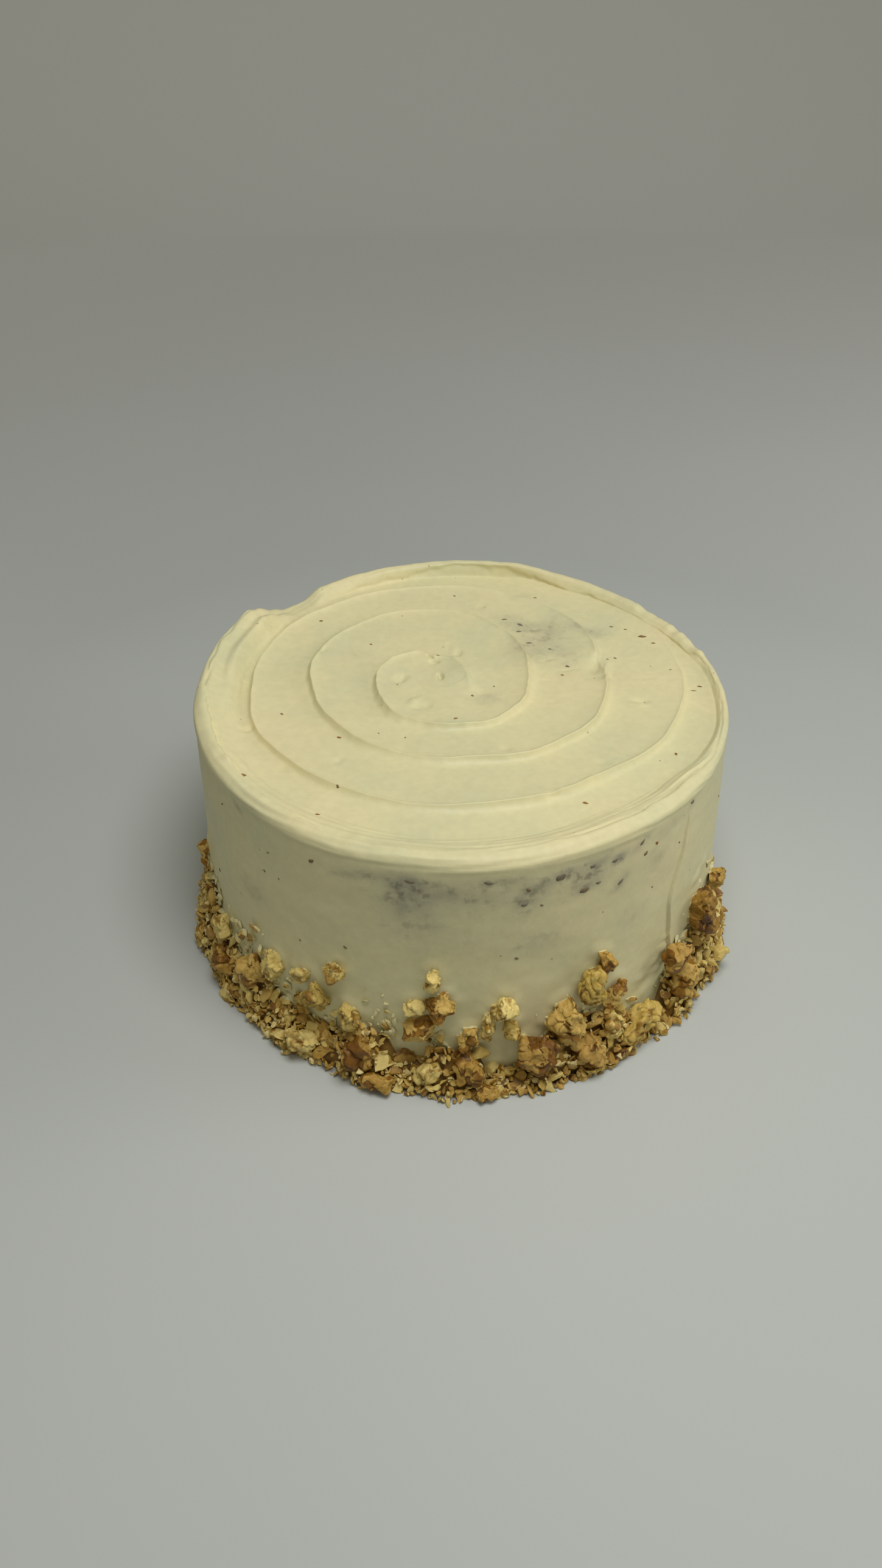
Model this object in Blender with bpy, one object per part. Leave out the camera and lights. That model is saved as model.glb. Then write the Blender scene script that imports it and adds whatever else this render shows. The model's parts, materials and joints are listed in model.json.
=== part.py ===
"""A round frosted carrot cake: one cake solid, a heap of walnut crumbs round its foot, and
the larger broken walnuts as pieces of their own. Metres, +Z up, standing on z = 0, front at -Y.
Angles are in degrees round the cake's axis, anticlockwise seen from above, from +X.
"""

import math
import random

import bmesh
import bpy
from mathutils import Matrix, Vector, noise
from mathutils.bvhtree import BVHTree

# ---------------------------------------------------------------- driving dimensions, millimetres
MM = 0.001
TOP_RADIUS = 82.0
RIM_HEIGHT = 82.2
SIDE_FLARE = 0.035  # the wall leans out by this much of a millimetre for each one downwards
TOP_LEVEL = 78.9  # floor of the spread top, at the foot of each terrace
GAP = 0.3  # air left between neighbouring solids
SWELLING = GAP + 0.05  # how much a piece is swollen before it is cut out of its neighbours
COLUMNS = 72

SPIRAL_CENTRE = (-5.0, 10.6)
TERRACE_STEP = 1.4
STEP_WIDTH = 2.2
STEP_STARTS, STEP_FULL = 80.0, 140.0  # degrees travelled where the terrace edge rises out of the middle
STEP_WANES, STEP_ENDS = 1030.0, 1110.0  # and where it sinks away at the rim
FIRST_TURN, LAST_TURN = -1, 4
ROWS_A_TURN = (0.0, 0.10, 0.38, 0.66, 0.88)
INNER_RING = 4.0
KNOB_PLACE = (-1.0, 11.0)  # the dab left in the middle by the palette knife
KNOB_HEIGHT = 1.3
KNOB_SPREAD = 5.0

# The terrace edge: angle travelled from +X, radius from SPIRAL_CENTRE
CREST = (
    (-260, 2.5), (-100, 5.0), (0, 7.5), (60, 9.5), (107, 12.0), (126, 17.0), (158, 19.5),
    (200, 23.0), (240, 27.0), (290, 29.5), (320, 29.0), (360, 26.7), (385, 28.2), (412, 32.8),
    (443, 39.5), (470, 41.8), (520, 43.2), (550, 42.2), (600, 43.7), (636, 45.5), (666, 50.0),
    (690, 52.0), (725, 51.0), (766, 54.5), (805, 57.3), (849, 57.7), (874, 60.5), (902, 60.6),
    (933, 64.0), (989, 66.6), (1025, 69.5), (1053, 74.0), (1080, 75.5), (1170, 80.0),
    (1260, 84.0), (1400, 90.0), (1600, 98.0),
)

# Height of the frosting lip above RIM_HEIGHT, with the torn notch before the horn at 148
LIP = (
    (-180, 3.0), (-170, 2.2), (-158, 1.2), (-140, 0.4), (-115, 0.0), (-90, -0.2), (-60, -0.2),
    (-38, -0.6), (-15, -1.2), (6, -1.5), (20, -1.6), (31, -2.3), (38, -1.6), (50, -1.2),
    (64, -0.2), (74, 1.2), (92, 1.1), (106, 0.8), (116, 0.6), (127, 0.0), (132, -3.0),
    (138, -2.6), (143, 0.4), (148, 4.2), (151, 5.6), (155, 4.6), (162, 4.4), (171, 3.6),
    (180, 3.0),
)
# Width of the lip's inner slope, and the radius of its outer edge
LIP_WIDTH = (
    (-180, 14.0), (-160, 13.0), (-140, 10.0), (-100, 9.0), (-50, 9.0), (-20, 7.0), (10, 5.5),
    (35, 4.5), (60, 4.5), (95, 6.0), (125, 8.0), (150, 12.0), (180, 14.0),
)
EDGE_RADIUS = (
    (-180, 2.2), (-155, 3.0), (-120, 4.2), (-70, 4.5), (-35, 3.6), (0, 2.2), (30, 1.5),
    (100, 1.6), (135, 1.8), (150, 1.5), (180, 2.2),
)

# Shares of the lip's slope: how far across it and how far up it
LIP_PROFILE = ((0.55, 0.30), (0.85, 0.78))
WALL_HEIGHTS = (66.0, 46.0, 27.0, 10.0, 2.0)
FOOT_TUCK = 0.7  # how far the wall's last row is tucked in at the table

# A scraper's seam down the front right, with the frosting to its right standing prouder
SEAM_ANGLE = -42.5
SEAM_STEP = 0.8
SEAM_FADE = 16.0

# Top of the heaped walnut crumbs and how far its foot stands out from the wall
HEAP_TOP = (
    (-180, 11.0), (-170, 22.0), (-164, 25.0), (-157, 21.0), (-146, 15.0), (-137, 21.0),
    (-128, 12.0), (-120, 10.5), (-112, 15.0), (-106, 17.0), (-101, 9.5), (-95, 13.0),
    (-88, 12.0), (-83, 7.0), (-78, 7.5), (-73, 15.0), (-67, 20.0), (-61, 17.0), (-55, 10.0),
    (-48, 8.5), (-42, 14.0), (-35, 24.0), (-26, 26.0), (-19, 18.0), (-10, 9.0), (4, 8.0),
    (16, 12.0), (30, 19.0), (44, 14.0), (56, 21.0), (70, 13.0), (84, 18.0), (98, 12.0),
    (112, 20.0), (126, 15.0), (140, 20.0), (152, 13.0), (166, 9.0), (180, 11.0),
)
HEAP_FOOT = (
    (-180, 4.6), (-165, 6.8), (-150, 6.8), (-120, 7.6), (-100, 8.6), (-86, 8.8), (-70, 8.6),
    (-50, 7.4), (-25, 7.4), (-8, 4.6), (10, 4.6), (30, 7.0), (60, 8.0), (100, 7.0), (140, 8.0),
    (160, 5.4), (180, 4.6),
)

HEAP_LEAST = 5.5
HEAP_CREST = 1.7  # how far the heap's crest stands out from the wall

# Larger walnut pieces: name, angle, height of the middle, distance of the back from the wall,
# width along the wall, height, thickness, lean in degrees, kind
PIECES = (
    ("walnut_01", -96.0, 41.0, 0.0, 6.5, 11.0, 5.0, 6, "pale"),
    ("walnut_02", -94.8, 31.0, 0.0, 8.5, 11.5, 6.5, -28, "amber"),
    ("walnut_03", -99.8, 29.8, 0.0, 8.5, 6.5, 4.5, 15, "pale"),
    ("walnut_04", -99.2, 21.0, 0.0, 11.5, 10.5, 6.0, 24, "amber"),
    ("walnut_05", -82.8, 30.0, 0.0, 8.0, 9.0, 6.5, 0, "pale"),
    ("walnut_06", -81.4, 20.6, 0.0, 6.0, 7.0, 5.5, 0, "pale"),
    ("walnut_07", -76.9, 12.8, 2.0, 13.0, 12.0, 8.0, 20, "brown"),
    ("walnut_08", -70.9, 21.5, 0.4, 11.0, 17.5, 8.5, 12, "amber"),
    ("walnut_09", -65.4, 31.0, 0.0, 9.0, 17.5, 7.5, 6, "pale"),
    ("walnut_10", -59.8, 23.0, 0.0, 8.0, 12.0, 5.0, -28, "amber"),
    ("walnut_11", -66.0, 9.2, 2.6, 12.0, 13.0, 8.5, -8, "brown"),
    ("walnut_12", -60.6, 13.4, 1.6, 7.5, 10.5, 6.5, 10, "pale"),
    ("walnut_13", -54.2, 7.8, 1.6, 18.0, 9.0, 8.0, 30, "pale"),
    ("walnut_14", -65.4, 3.2, 5.4, 11.0, 5.2, 5.5, 8, "pale"),
    ("walnut_15", -43.8, 24.0, 0.2, 10.5, 14.5, 7.5, 10, "brown"),
    ("walnut_16", -40.4, 12.5, 1.4, 12.0, 12.5, 8.0, -18, "amber"),
    ("walnut_17", -33.8, 33.0, 0.2, 13.0, 17.5, 8.5, 14, "brown"),
    ("walnut_18", -24.0, 31.8, 0.0, 7.5, 11.0, 5.4, 4, "amber"),
    ("walnut_19", -110.2, 10.0, 1.8, 15.0, 12.0, 8.0, -10, "brown"),
    ("walnut_20", -106.2, 2.9, 6.4, 14.0, 5.2, 5.4, 6, "amber"),
    ("walnut_21", -89.4, 7.8, 2.4, 10.5, 12.0, 6.5, -34, "amber"),
    ("walnut_22", -97.2, 6.6, 3.0, 9.5, 9.0, 6.0, 14, "pale"),
    ("walnut_23", -86.2, 2.6, 6.6, 9.0, 4.6, 5.0, 0, "amber"),
    ("walnut_24", -115.8, 36.5, 0.0, 9.0, 7.0, 5.0, 26, "pale"),
    ("walnut_25", -120.4, 24.0, 0.0, 9.5, 11.0, 5.5, -12, "pale"),
    ("walnut_26", -131.6, 26.0, 0.0, 10.0, 11.5, 5.5, 10, "pale"),
    ("walnut_27", -137.8, 18.2, 0.6, 10.5, 12.0, 6.0, -20, "amber"),
    ("walnut_28", -124.4, 28.4, 0.0, 10.0, 5.4, 3.6, 30, "pale"),
    ("walnut_29", -122.6, 6.4, 3.0, 12.0, 9.0, 6.5, 10, "pale"),
    ("walnut_30", -164.0, 36.6, 0.0, 6.5, 9.0, 4.2, 12, "amber"),
    ("walnut_31", -150.4, 21.4, 0.2, 9.0, 10.0, 5.0, 8, "pale"),
    ("walnut_32", -148.6, 9.8, 2.2, 11.0, 10.0, 6.5, -16, "amber"),
    ("walnut_33", -113.4, 20.2, 0.0, 10.0, 9.5, 5.0, -20, "pale"),
    ("walnut_34", -86.0, 22.6, 0.0, 4.6, 13.0, 4.5, 4, "pale"),
    ("walnut_35", -89.2, 18.4, 0.0, 8.0, 9.5, 5.0, -30, "amber"),
    ("walnut_36", -62.6, 38.4, 0.0, 6.0, 9.0, 5.0, -8, "amber"),
    ("walnut_37", 33.0, 25.0, 0.0, 10.0, 13.0, 6.5, -8, "brown"),
    ("walnut_38", 50.0, 10.0, 2.4, 14.0, 11.0, 8.0, 12, "amber"),
    ("walnut_39", 61.0, 29.0, 0.0, 9.0, 12.0, 6.0, 20, "pale"),
    ("walnut_40", 76.0, 12.0, 2.0, 12.0, 13.0, 7.0, -22, "pale"),
    ("walnut_41", 88.0, 26.0, 0.0, 11.0, 11.0, 6.5, 10, "amber"),
    ("walnut_42", 104.0, 9.5, 2.4, 14.0, 12.0, 8.0, -8, "brown"),
    ("walnut_43", 117.0, 27.0, 0.2, 10.0, 14.0, 6.5, 16, "pale"),
    ("walnut_44", 136.0, 10.0, 2.2, 12.0, 11.0, 7.0, -18, "amber"),
)

COARSE_LUMP, FINE_LUMP = 0.34, 0.16  # unevenness of a piece, as shares of its radius
BROKEN_SHARE = 0.72  # where the broken face cuts a piece, as a share of its reach
BACK_SHARE = 0.6  # how much of a piece's distance from the wall its flat back takes up
NEIGHBOUR = 16.0  # pieces further apart than this many degrees can't touch

COLOURS = {
    "cream_frosting": ((0.80, 0.74, 0.52), 0.45),
    "walnut_crumb": ((0.56, 0.40, 0.19), 0.65),
    "walnut_pale": ((0.74, 0.56, 0.28), 0.6),
    "walnut_amber": ((0.52, 0.30, 0.09), 0.5),
    "walnut_brown": ((0.32, 0.16, 0.06), 0.5),
}


# ------------------------------------------------------------------------------------ measuring
def table(keys, x):
    """Smooth value at x of a table of (x, value) pairs."""
    if x <= keys[0][0]:
        return keys[0][1]
    for (x0, v0), (x1, v1) in zip(keys, keys[1:]):
        if x <= x1:
            t = (x - x0) / (x1 - x0)
            return v0 + (v1 - v0) * (0.35 * t + 0.65 * t * t * (3 - 2 * t))
    return keys[-1][1]


def wrapped(angle):
    """The angle in degrees brought into -180 to 180."""
    return (angle + 180.0) % 360.0 - 180.0


def side_radius(angle, z):
    """Radius of the frosted wall."""
    radius = TOP_RADIUS + SIDE_FLARE * (RIM_HEIGHT - z)
    past = wrapped(angle) - SEAM_ANGLE
    if 0.0 <= past < SEAM_FADE:
        radius += SEAM_STEP * (1.0 - past / SEAM_FADE)
    return radius


def step_height(travelled):
    """Height of the terrace edge, fading in at the middle and out at the rim."""
    fade_in = min(max((travelled - STEP_STARTS) / (STEP_FULL - STEP_STARTS), 0.0), 1.0)
    fade_out = min(max((STEP_ENDS - travelled) / (STEP_ENDS - STEP_WANES), 0.0), 1.0)
    return TERRACE_STEP * fade_in * fade_out


def top_height(x, y):
    """Height of the spread top before the lip."""
    dx, dy = x - SPIRAL_CENTRE[0], y - SPIRAL_CENTRE[1]
    away = math.hypot(dx, dy)
    angle = math.degrees(math.atan2(dy, dx)) % 360.0
    turn = FIRST_TURN
    while table(CREST, angle + 360.0 * (turn + 1)) <= away and turn < LAST_TURN:
        turn += 1
    inner = table(CREST, angle + 360.0 * turn)
    outer = table(CREST, angle + 360.0 * (turn + 1))
    part = min(max((away - inner) / (outer - inner), 0.0), 1.0)
    fall = min(max((away - inner) / STEP_WIDTH, 0.0), 1.0)
    height = step_height(angle + 360.0 * turn) * (1.0 - fall) ** 1.6
    height += step_height(angle + 360.0 * (turn + 1)) * part**1.5
    from_knob = math.hypot(x - KNOB_PLACE[0], y - KNOB_PLACE[1])
    return TOP_LEVEL + height + KNOB_HEIGHT * math.exp(-0.5 * (from_knob / KNOB_SPREAD) ** 2)


# --------------------------------------------------------------------------------------- meshes
def add_object(name, bm, material, group):
    """Makes the mesh an object in the group, smooth but for its sharp edges."""
    bmesh.ops.recalc_face_normals(bm, faces=bm.faces)
    mesh = bpy.data.meshes.new(name)
    bm.to_mesh(mesh)
    bm.free()
    mesh.materials.append(bpy.data.materials[material])
    mesh.shade_smooth()
    mesh.set_sharp_from_angle(angle=math.radians(40))
    ob = bpy.data.objects.new(name, mesh)
    group.objects.link(ob)
    return ob


def point(radius, angle, z):
    """The point at a radius, angle and height given in millimetres and degrees."""
    a = math.radians(angle)
    return Vector((radius * math.cos(a), radius * math.sin(a), z)) * MM


def rim_rows(angle):
    """Radius and height of each row from the lip's inner foot down to the cake's foot."""
    lip = RIM_HEIGHT + table(LIP, angle)
    width = table(LIP_WIDTH, angle)
    edge = table(EDGE_RADIUS, angle)
    out = side_radius(angle, lip)
    foot = out - edge - width
    a = math.radians(angle)
    floor = top_height(foot * math.cos(a), foot * math.sin(a))
    rows = [
        (foot, floor),
        *[(foot + across * width, floor + up * (lip - floor)) for across, up in LIP_PROFILE],
        (out - edge, lip),
        (out - 0.29 * edge, lip - 0.29 * edge),
        (side_radius(angle, lip - edge), lip - edge),
    ]
    for z in WALL_HEIGHTS:
        rows.append((side_radius(angle, z), z))
    rows.append((side_radius(angle, 0.0) - FOOT_TUCK, 0.0))
    return rows


def build_cake(group):
    """The whole cake: a terraced spiral top, the lip, the wall and a flat underside."""
    bm = bmesh.new()
    turn_rows = len(ROWS_A_TURN)
    columns = []
    for i in range(COLUMNS):
        angle = -180.0 + 360.0 * i / COLUMNS
        rim = rim_rows(angle)
        foot = point(rim[0][0], angle, 0.0) / MM
        ray = Vector((foot.x - SPIRAL_CENTRE[0], foot.y - SPIRAL_CENTRE[1]))
        bearing = math.degrees(math.atan2(ray.y, ray.x)) % 360.0
        direction = ray.normalized()
        spiral = {}
        for turn in range(FIRST_TURN, LAST_TURN + 1):
            here = table(CREST, bearing + 360.0 * turn)
            after = table(CREST, bearing + 360.0 * (turn + 1))
            for m, part in enumerate(ROWS_A_TURN):
                away = here + (after - here) * part
                if INNER_RING + 1.0 < away < ray.length - 1.8:
                    x = SPIRAL_CENTRE[0] + direction.x * away
                    y = SPIRAL_CENTRE[1] + direction.y * away
                    spot = Vector((x, y, top_height(x, y))) * MM
                    spiral[turn * turn_rows + m] = bm.verts.new(spot)
        x = SPIRAL_CENTRE[0] + direction.x * INNER_RING
        y = SPIRAL_CENTRE[1] + direction.y * INNER_RING
        inner = bm.verts.new(Vector((x, y, top_height(x, y))) * MM)
        outer = [bm.verts.new(point(radius, angle, z)) for radius, z in rim]
        columns.append((bearing, inner, spiral, outer))

    x, y = SPIRAL_CENTRE
    middle = bm.verts.new(Vector((x, y, top_height(x, y))) * MM)
    under = bm.verts.new((0.0, 0.0, 0.0))
    for i, (bearing, inner, spiral, outer) in enumerate(columns):
        next_bearing, next_inner, next_spiral, next_outer = columns[(i + 1) % COLUMNS]
        if next_bearing < bearing:
            next_spiral = {k - turn_rows: v for k, v in next_spiral.items()}
        shared = sorted(set(spiral) & set(next_spiral))
        low, high = shared[0], shared[-1]
        for k in shared[:-1]:
            bm.faces.new((spiral[k], spiral[k + 1], next_spiral[k + 1], next_spiral[k]))
        near = [spiral[k] for k in sorted(spiral) if k <= low]
        back = [next_spiral[k] for k in sorted(next_spiral, reverse=True) if k <= low]
        bm.faces.new([inner] + near + back + [next_inner])
        near = [spiral[k] for k in sorted(spiral) if k >= high]
        back = [next_spiral[k] for k in sorted(next_spiral, reverse=True) if k >= high]
        bm.faces.new(near + [outer[0], next_outer[0]] + back)
        bm.faces.new((middle, inner, next_inner))
        for k in range(len(outer) - 1):
            bm.faces.new((outer[k], outer[k + 1], next_outer[k + 1], next_outer[k]))
        bm.faces.new((outer[-1], under, next_outer[-1]))
    bmesh.ops.triangulate(bm, faces=bm.faces)
    return add_object("frosted_cake", bm, "cream_frosting", group)


def heap_section(angle, i):
    """Closed section of the crumb heap at this angle, starting at its inner foot."""
    top = table(HEAP_TOP, angle)
    foot = table(HEAP_FOOT, angle)
    top += 1.4 * math.sin(i * 2.4) + 0.9 * math.sin(i * 4.1 + 1.0)
    foot += 0.7 * math.sin(i * 1.9 + 0.5) + 0.5 * math.sin(i * 3.7)
    top = max(top, HEAP_LEAST)
    bulge = 0.5 * math.sin(i * 2.9 + 2.0)
    wall = side_radius(angle, 0.0)

    def back(z):
        return side_radius(angle, z) + GAP

    return [
        (back(0.0), 0.0),
        (wall + foot, 0.0),
        (wall + 0.93 * foot, 0.28 * top),
        (side_radius(angle, 0.55 * top) + 0.62 * foot + bulge, 0.55 * top),
        (side_radius(angle, 0.82 * top) + 0.44 * foot, 0.82 * top),
        (side_radius(angle, top) + HEAP_CREST, top),
        (back(top), 0.97 * top),
    ]


def build_heap(group):
    """A ring of crumbs banked against the wall."""
    bm = bmesh.new()
    rings = []
    for i in range(COLUMNS):
        angle = -180.0 + 360.0 * i / COLUMNS
        rings.append([bm.verts.new(point(r, angle, z)) for r, z in heap_section(angle, i)])
    for i, ring in enumerate(rings):
        after = rings[(i + 1) % COLUMNS]
        for k in range(len(ring)):
            m = (k + 1) % len(ring)
            bm.faces.new((ring[k], ring[m], after[m], after[k]))
    bmesh.ops.triangulate(bm, faces=bm.faces)
    return add_object("walnut_crumbs", bm, "walnut_crumb", group)


def slice_off(bm, spot, normal):
    """Cuts away what lies on the normal's side of a plane and closes the cut."""
    geometry = bm.verts[:] + bm.edges[:] + bm.faces[:]
    cut = bmesh.ops.bisect_plane(
        bm, geom=geometry, plane_co=spot, plane_no=normal, dist=1e-6, clear_outer=True
    )
    edges = [e for e in cut["geom_cut"] if isinstance(e, bmesh.types.BMEdge)]
    if edges:
        bmesh.ops.contextual_create(bm, geom=edges)


def build_piece(spec, group):
    """A broken walnut piece: a lumpy half-kernel with a flat back and one broken face."""
    name, angle, height, away, width, tall, thick, lean, kind = spec
    chance = random.Random(int(name[-2:]) * 17 + 3)
    bm = bmesh.new()
    bmesh.ops.create_uvsphere(bm, u_segments=7, v_segments=5, radius=0.5)
    bmesh.ops.rotate(bm, verts=bm.verts, matrix=Matrix.Rotation(chance.uniform(0.6, 1.4), 3, "Y"))
    offset = Vector((chance.uniform(-9, 9), chance.uniform(-9, 9), chance.uniform(-9, 9)))
    for v in bm.verts:
        coarse = COARSE_LUMP * noise.noise(v.co * 3.1 + offset)
        fine = FINE_LUMP * noise.noise(v.co * 6.5 - offset)
        v.co *= 1.0 + coarse + fine
    low = Vector([min(v.co[k] for v in bm.verts) for k in range(3)])
    high = Vector([max(v.co[k] for v in bm.verts) for k in range(3)])
    size = Vector((thick * 1.25, width, tall))
    for v in bm.verts:
        for k in range(3):
            v.co[k] = ((v.co[k] - low[k]) / (high[k] - low[k]) - 0.5) * size[k]
    # one broken face on an upper or lower side, taking off about a seventh
    way = chance.choice((-1, 1))
    broken = Vector((0.35, 0.75 * chance.choice((-1, 1)), 0.65 * way)).normalized()
    reach = max(v.co.dot(broken) for v in bm.verts)
    slice_off(bm, broken * reach * BROKEN_SHARE, broken)
    bmesh.ops.rotate(bm, verts=bm.verts, matrix=Matrix.Rotation(math.radians(lean), 3, "X"))

    # the flat back stands just clear of the wall's tangent plane
    wall = max(side_radius(angle + d, height) for d in (-5.0, 0.0, 5.0))
    slope = math.atan(SIDE_FLARE)
    bmesh.ops.rotate(bm, verts=bm.verts, matrix=Matrix.Rotation(-slope, 3, "Y"))
    front = max(v.co.x for v in bm.verts)
    for v in bm.verts:
        v.co.x += wall + GAP + away + thick - front
        v.co.z += height
    outward = Vector((math.cos(slope), 0.0, math.sin(slope)))
    slice_off(bm, Vector((wall + SWELLING + away * BACK_SHARE, 0.0, height)), -outward)
    if min(v.co.z for v in bm.verts) < 0.0:
        slice_off(bm, Vector((0.0, 0.0, 0.15)), Vector((0.0, 0.0, -1.0)))
    bmesh.ops.rotate(bm, verts=bm.verts, matrix=Matrix.Rotation(math.radians(angle), 3, "Z"))
    bmesh.ops.scale(bm, verts=bm.verts, vec=(MM, MM, MM))
    bmesh.ops.triangulate(bm, faces=bm.faces)
    bmesh.ops.remove_doubles(bm, verts=bm.verts, dist=0.00005)
    return add_object(name, bm, "walnut_" + kind, group)


def swollen(ob, group):
    """A copy of the object, larger all round by the gap between pieces."""
    mesh = ob.data.copy()
    shift = [v.normal * SWELLING * MM for v in mesh.vertices]
    for v, s in zip(mesh.vertices, shift):
        v.co += s
    copy = bpy.data.objects.new(ob.name + "_cutter", mesh)
    copy.hide_render = True
    copy.display_type = "WIRE"
    group.objects.link(copy)
    return copy


def tree(ob):
    """A search tree of the object's faces, to find whether two objects meet."""
    bm = bmesh.new()
    bm.from_mesh(ob.data)
    made = BVHTree.FromBMesh(bm)
    bm.free()
    return made


def islands_of(bm):
    """The mesh's separate islands as lists of vertices, the largest last."""
    islands = []
    seen = set()
    for start in bm.verts:
        if start in seen:
            continue
        island, queue = [], [start]
        seen.add(start)
        while queue:
            v = queue.pop()
            island.append(v)
            for e in v.link_edges:
                other = e.other_vert(v)
                if other not in seen:
                    seen.add(other)
                    queue.append(other)
        islands.append(island)
    return sorted(islands, key=len)


def subtract(ob, cutter):
    """Cuts the cutter out of the object and keeps the largest piece."""
    modifier = ob.modifiers.new("cut", "BOOLEAN")
    modifier.operation = "DIFFERENCE"
    modifier.solver = "EXACT"
    modifier.object = cutter
    graph = bpy.context.evaluated_depsgraph_get()
    mesh = bpy.data.meshes.new_from_object(ob.evaluated_get(graph))
    ob.modifiers.clear()
    bm = bmesh.new()
    bm.from_mesh(mesh)
    bmesh.ops.triangulate(bm, faces=bm.faces)
    bmesh.ops.remove_doubles(bm, verts=bm.verts, dist=0.00003)
    bmesh.ops.dissolve_degenerate(bm, edges=bm.edges, dist=0.00003)
    spare = [v for island in islands_of(bm)[:-1] for v in island]
    if spare:
        bmesh.ops.delete(bm, geom=spare, context="VERTS")
    bmesh.ops.triangulate(bm, faces=bm.faces)
    bm.to_mesh(ob.data)
    bm.free()


def make_materials():
    """A plain material for each colour."""
    for name, (colour, rough) in COLOURS.items():
        material = bpy.data.materials.new(name)
        material.use_nodes = True
        shader = material.node_tree.nodes["Principled BSDF"]
        shader.inputs["Base Color"].default_value = (*colour, 1.0)
        shader.inputs["Roughness"].default_value = rough
        material.diffuse_color = (*colour, 1.0)


def add_collection(name):
    """A new collection in the scene."""
    group = bpy.data.collections.new(name)
    bpy.context.scene.collection.children.link(group)
    return group


def build():
    """Clears the scene and builds the cake, the heap and every larger piece."""
    for ob in list(bpy.data.objects):
        bpy.data.objects.remove(ob, do_unlink=True)
    make_materials()
    group = add_collection("carrot_cake")
    cutters = add_collection("cutters")

    build_cake(group)
    heap = build_heap(group)
    placed = []
    for spec in PIECES:
        piece = build_piece(spec, group)
        for other, cutter in placed:
            if abs(wrapped(spec[1] - other[1])) < NEIGHBOUR and tree(piece).overlap(tree(cutter)):
                subtract(piece, cutter)
        placed.append((spec, swollen(piece, cutters)))
    for _, cutter in placed:
        if tree(heap).overlap(tree(cutter)):
            subtract(heap, cutter)
    for _, cutter in placed:
        bpy.data.objects.remove(cutter, do_unlink=True)


build()
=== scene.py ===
import json
import math
import random

import bmesh
import bpy
import numpy as np
from mathutils import Matrix, Vector, noise
from mathutils.bvhtree import BVHTree


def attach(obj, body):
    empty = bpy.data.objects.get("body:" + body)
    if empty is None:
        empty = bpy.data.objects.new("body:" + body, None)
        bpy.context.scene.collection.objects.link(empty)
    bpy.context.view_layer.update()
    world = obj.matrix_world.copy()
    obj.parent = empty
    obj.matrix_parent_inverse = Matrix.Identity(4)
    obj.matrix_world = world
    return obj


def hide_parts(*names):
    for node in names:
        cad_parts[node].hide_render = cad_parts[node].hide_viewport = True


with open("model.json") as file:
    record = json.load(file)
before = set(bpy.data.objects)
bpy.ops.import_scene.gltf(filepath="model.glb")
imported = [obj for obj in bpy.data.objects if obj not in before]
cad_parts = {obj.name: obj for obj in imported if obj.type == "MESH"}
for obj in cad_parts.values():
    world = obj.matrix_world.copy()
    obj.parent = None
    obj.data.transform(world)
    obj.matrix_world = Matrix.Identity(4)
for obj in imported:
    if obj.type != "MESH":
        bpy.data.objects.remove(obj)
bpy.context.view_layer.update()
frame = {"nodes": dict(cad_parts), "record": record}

# The cake's own measures repeat those of its CAD source. Lengths are millimetres, angles degrees
# round the cake's axis from +X, anticlockwise seen from above.
MM = 0.001
TOP_RADIUS = 82.0
RIM_HEIGHT = 82.2
SIDE_FLARE = 0.035
TOP_LEVEL = 78.9
SPIRAL_CENTRE = (-5.0, 10.6)
TERRACE_STEP = 1.8
FIRST_TURN, LAST_TURN = -2, 4
INNER_RINGS = (0.45, 0.9, 1.35, 1.8, 2.25)
FLOOR_LIFT = 0.15  # how far the lip's inner foot starts above the spread top
KNOB_PLACE, KNOB_SPREAD = (-1.0, 11.0), 50.0
MARK_DEPTH = 2.8  # millimetres of depth for a mark of strength 1

# The terrace edge: angle travelled from +X, radius from SPIRAL_CENTRE
CREST = (
    (-260, 2.5), (-100, 5.0), (0, 7.5), (60, 9.5), (107, 12.0), (126, 17.0), (158, 19.5),
    (200, 23.0), (240, 27.0), (290, 29.5), (320, 29.0), (360, 26.7), (385, 28.2), (412, 32.8),
    (443, 39.5), (470, 41.8), (520, 43.2), (550, 42.2), (600, 43.7), (636, 45.5), (666, 50.0),
    (690, 52.0), (725, 51.0), (766, 54.5), (805, 57.3), (849, 57.7), (874, 60.5), (902, 60.6),
    (933, 64.0), (989, 66.6), (1025, 69.5), (1053, 74.0), (1080, 75.5), (1170, 80.0),
    (1260, 84.0), (1400, 90.0), (1600, 98.0),
)
LIP = (
    (-180, 3.0), (-170, 2.2), (-158, 1.2), (-140, 0.4), (-115, 0.0), (-90, -0.2), (-60, -0.2),
    (-38, -0.6), (-15, -1.2), (6, -1.5), (20, -1.6), (31, -2.3), (38, -1.6), (50, -1.2),
    (64, -0.2), (74, 1.2), (92, 1.1), (106, 0.8), (116, 0.6), (127, 0.0), (132, -3.0),
    (138, -2.6), (143, 0.4), (148, 4.2), (151, 5.6), (155, 4.6), (162, 4.4), (171, 3.6),
    (180, 3.0),
)
LIP_WIDTH = (
    (-180, 10.5), (-165, 11.5), (-150, 10.5), (-130, 9.5), (-100, 9.0), (-60, 9.0), (-40, 7.0),
    (-26, 3.6), (-12, 2.2), (10, 2.0), (16, 3.4), (28, 4.2), (60, 4.4), (72, 2.6), (95, 3.5),
    (125, 5.2), (135, 6.8), (145, 8.6), (152, 9.8), (180, 10.5),
)
EDGE_RADIUS = (
    (-180, 3.2), (-155, 3.3), (-120, 4.2), (-70, 4.5), (-35, 3.4), (-15, 1.7), (15, 1.3),
    (30, 1.4), (100, 1.6), (135, 1.8), (150, 1.5), (165, 1.9), (180, 3.2),
)
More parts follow.
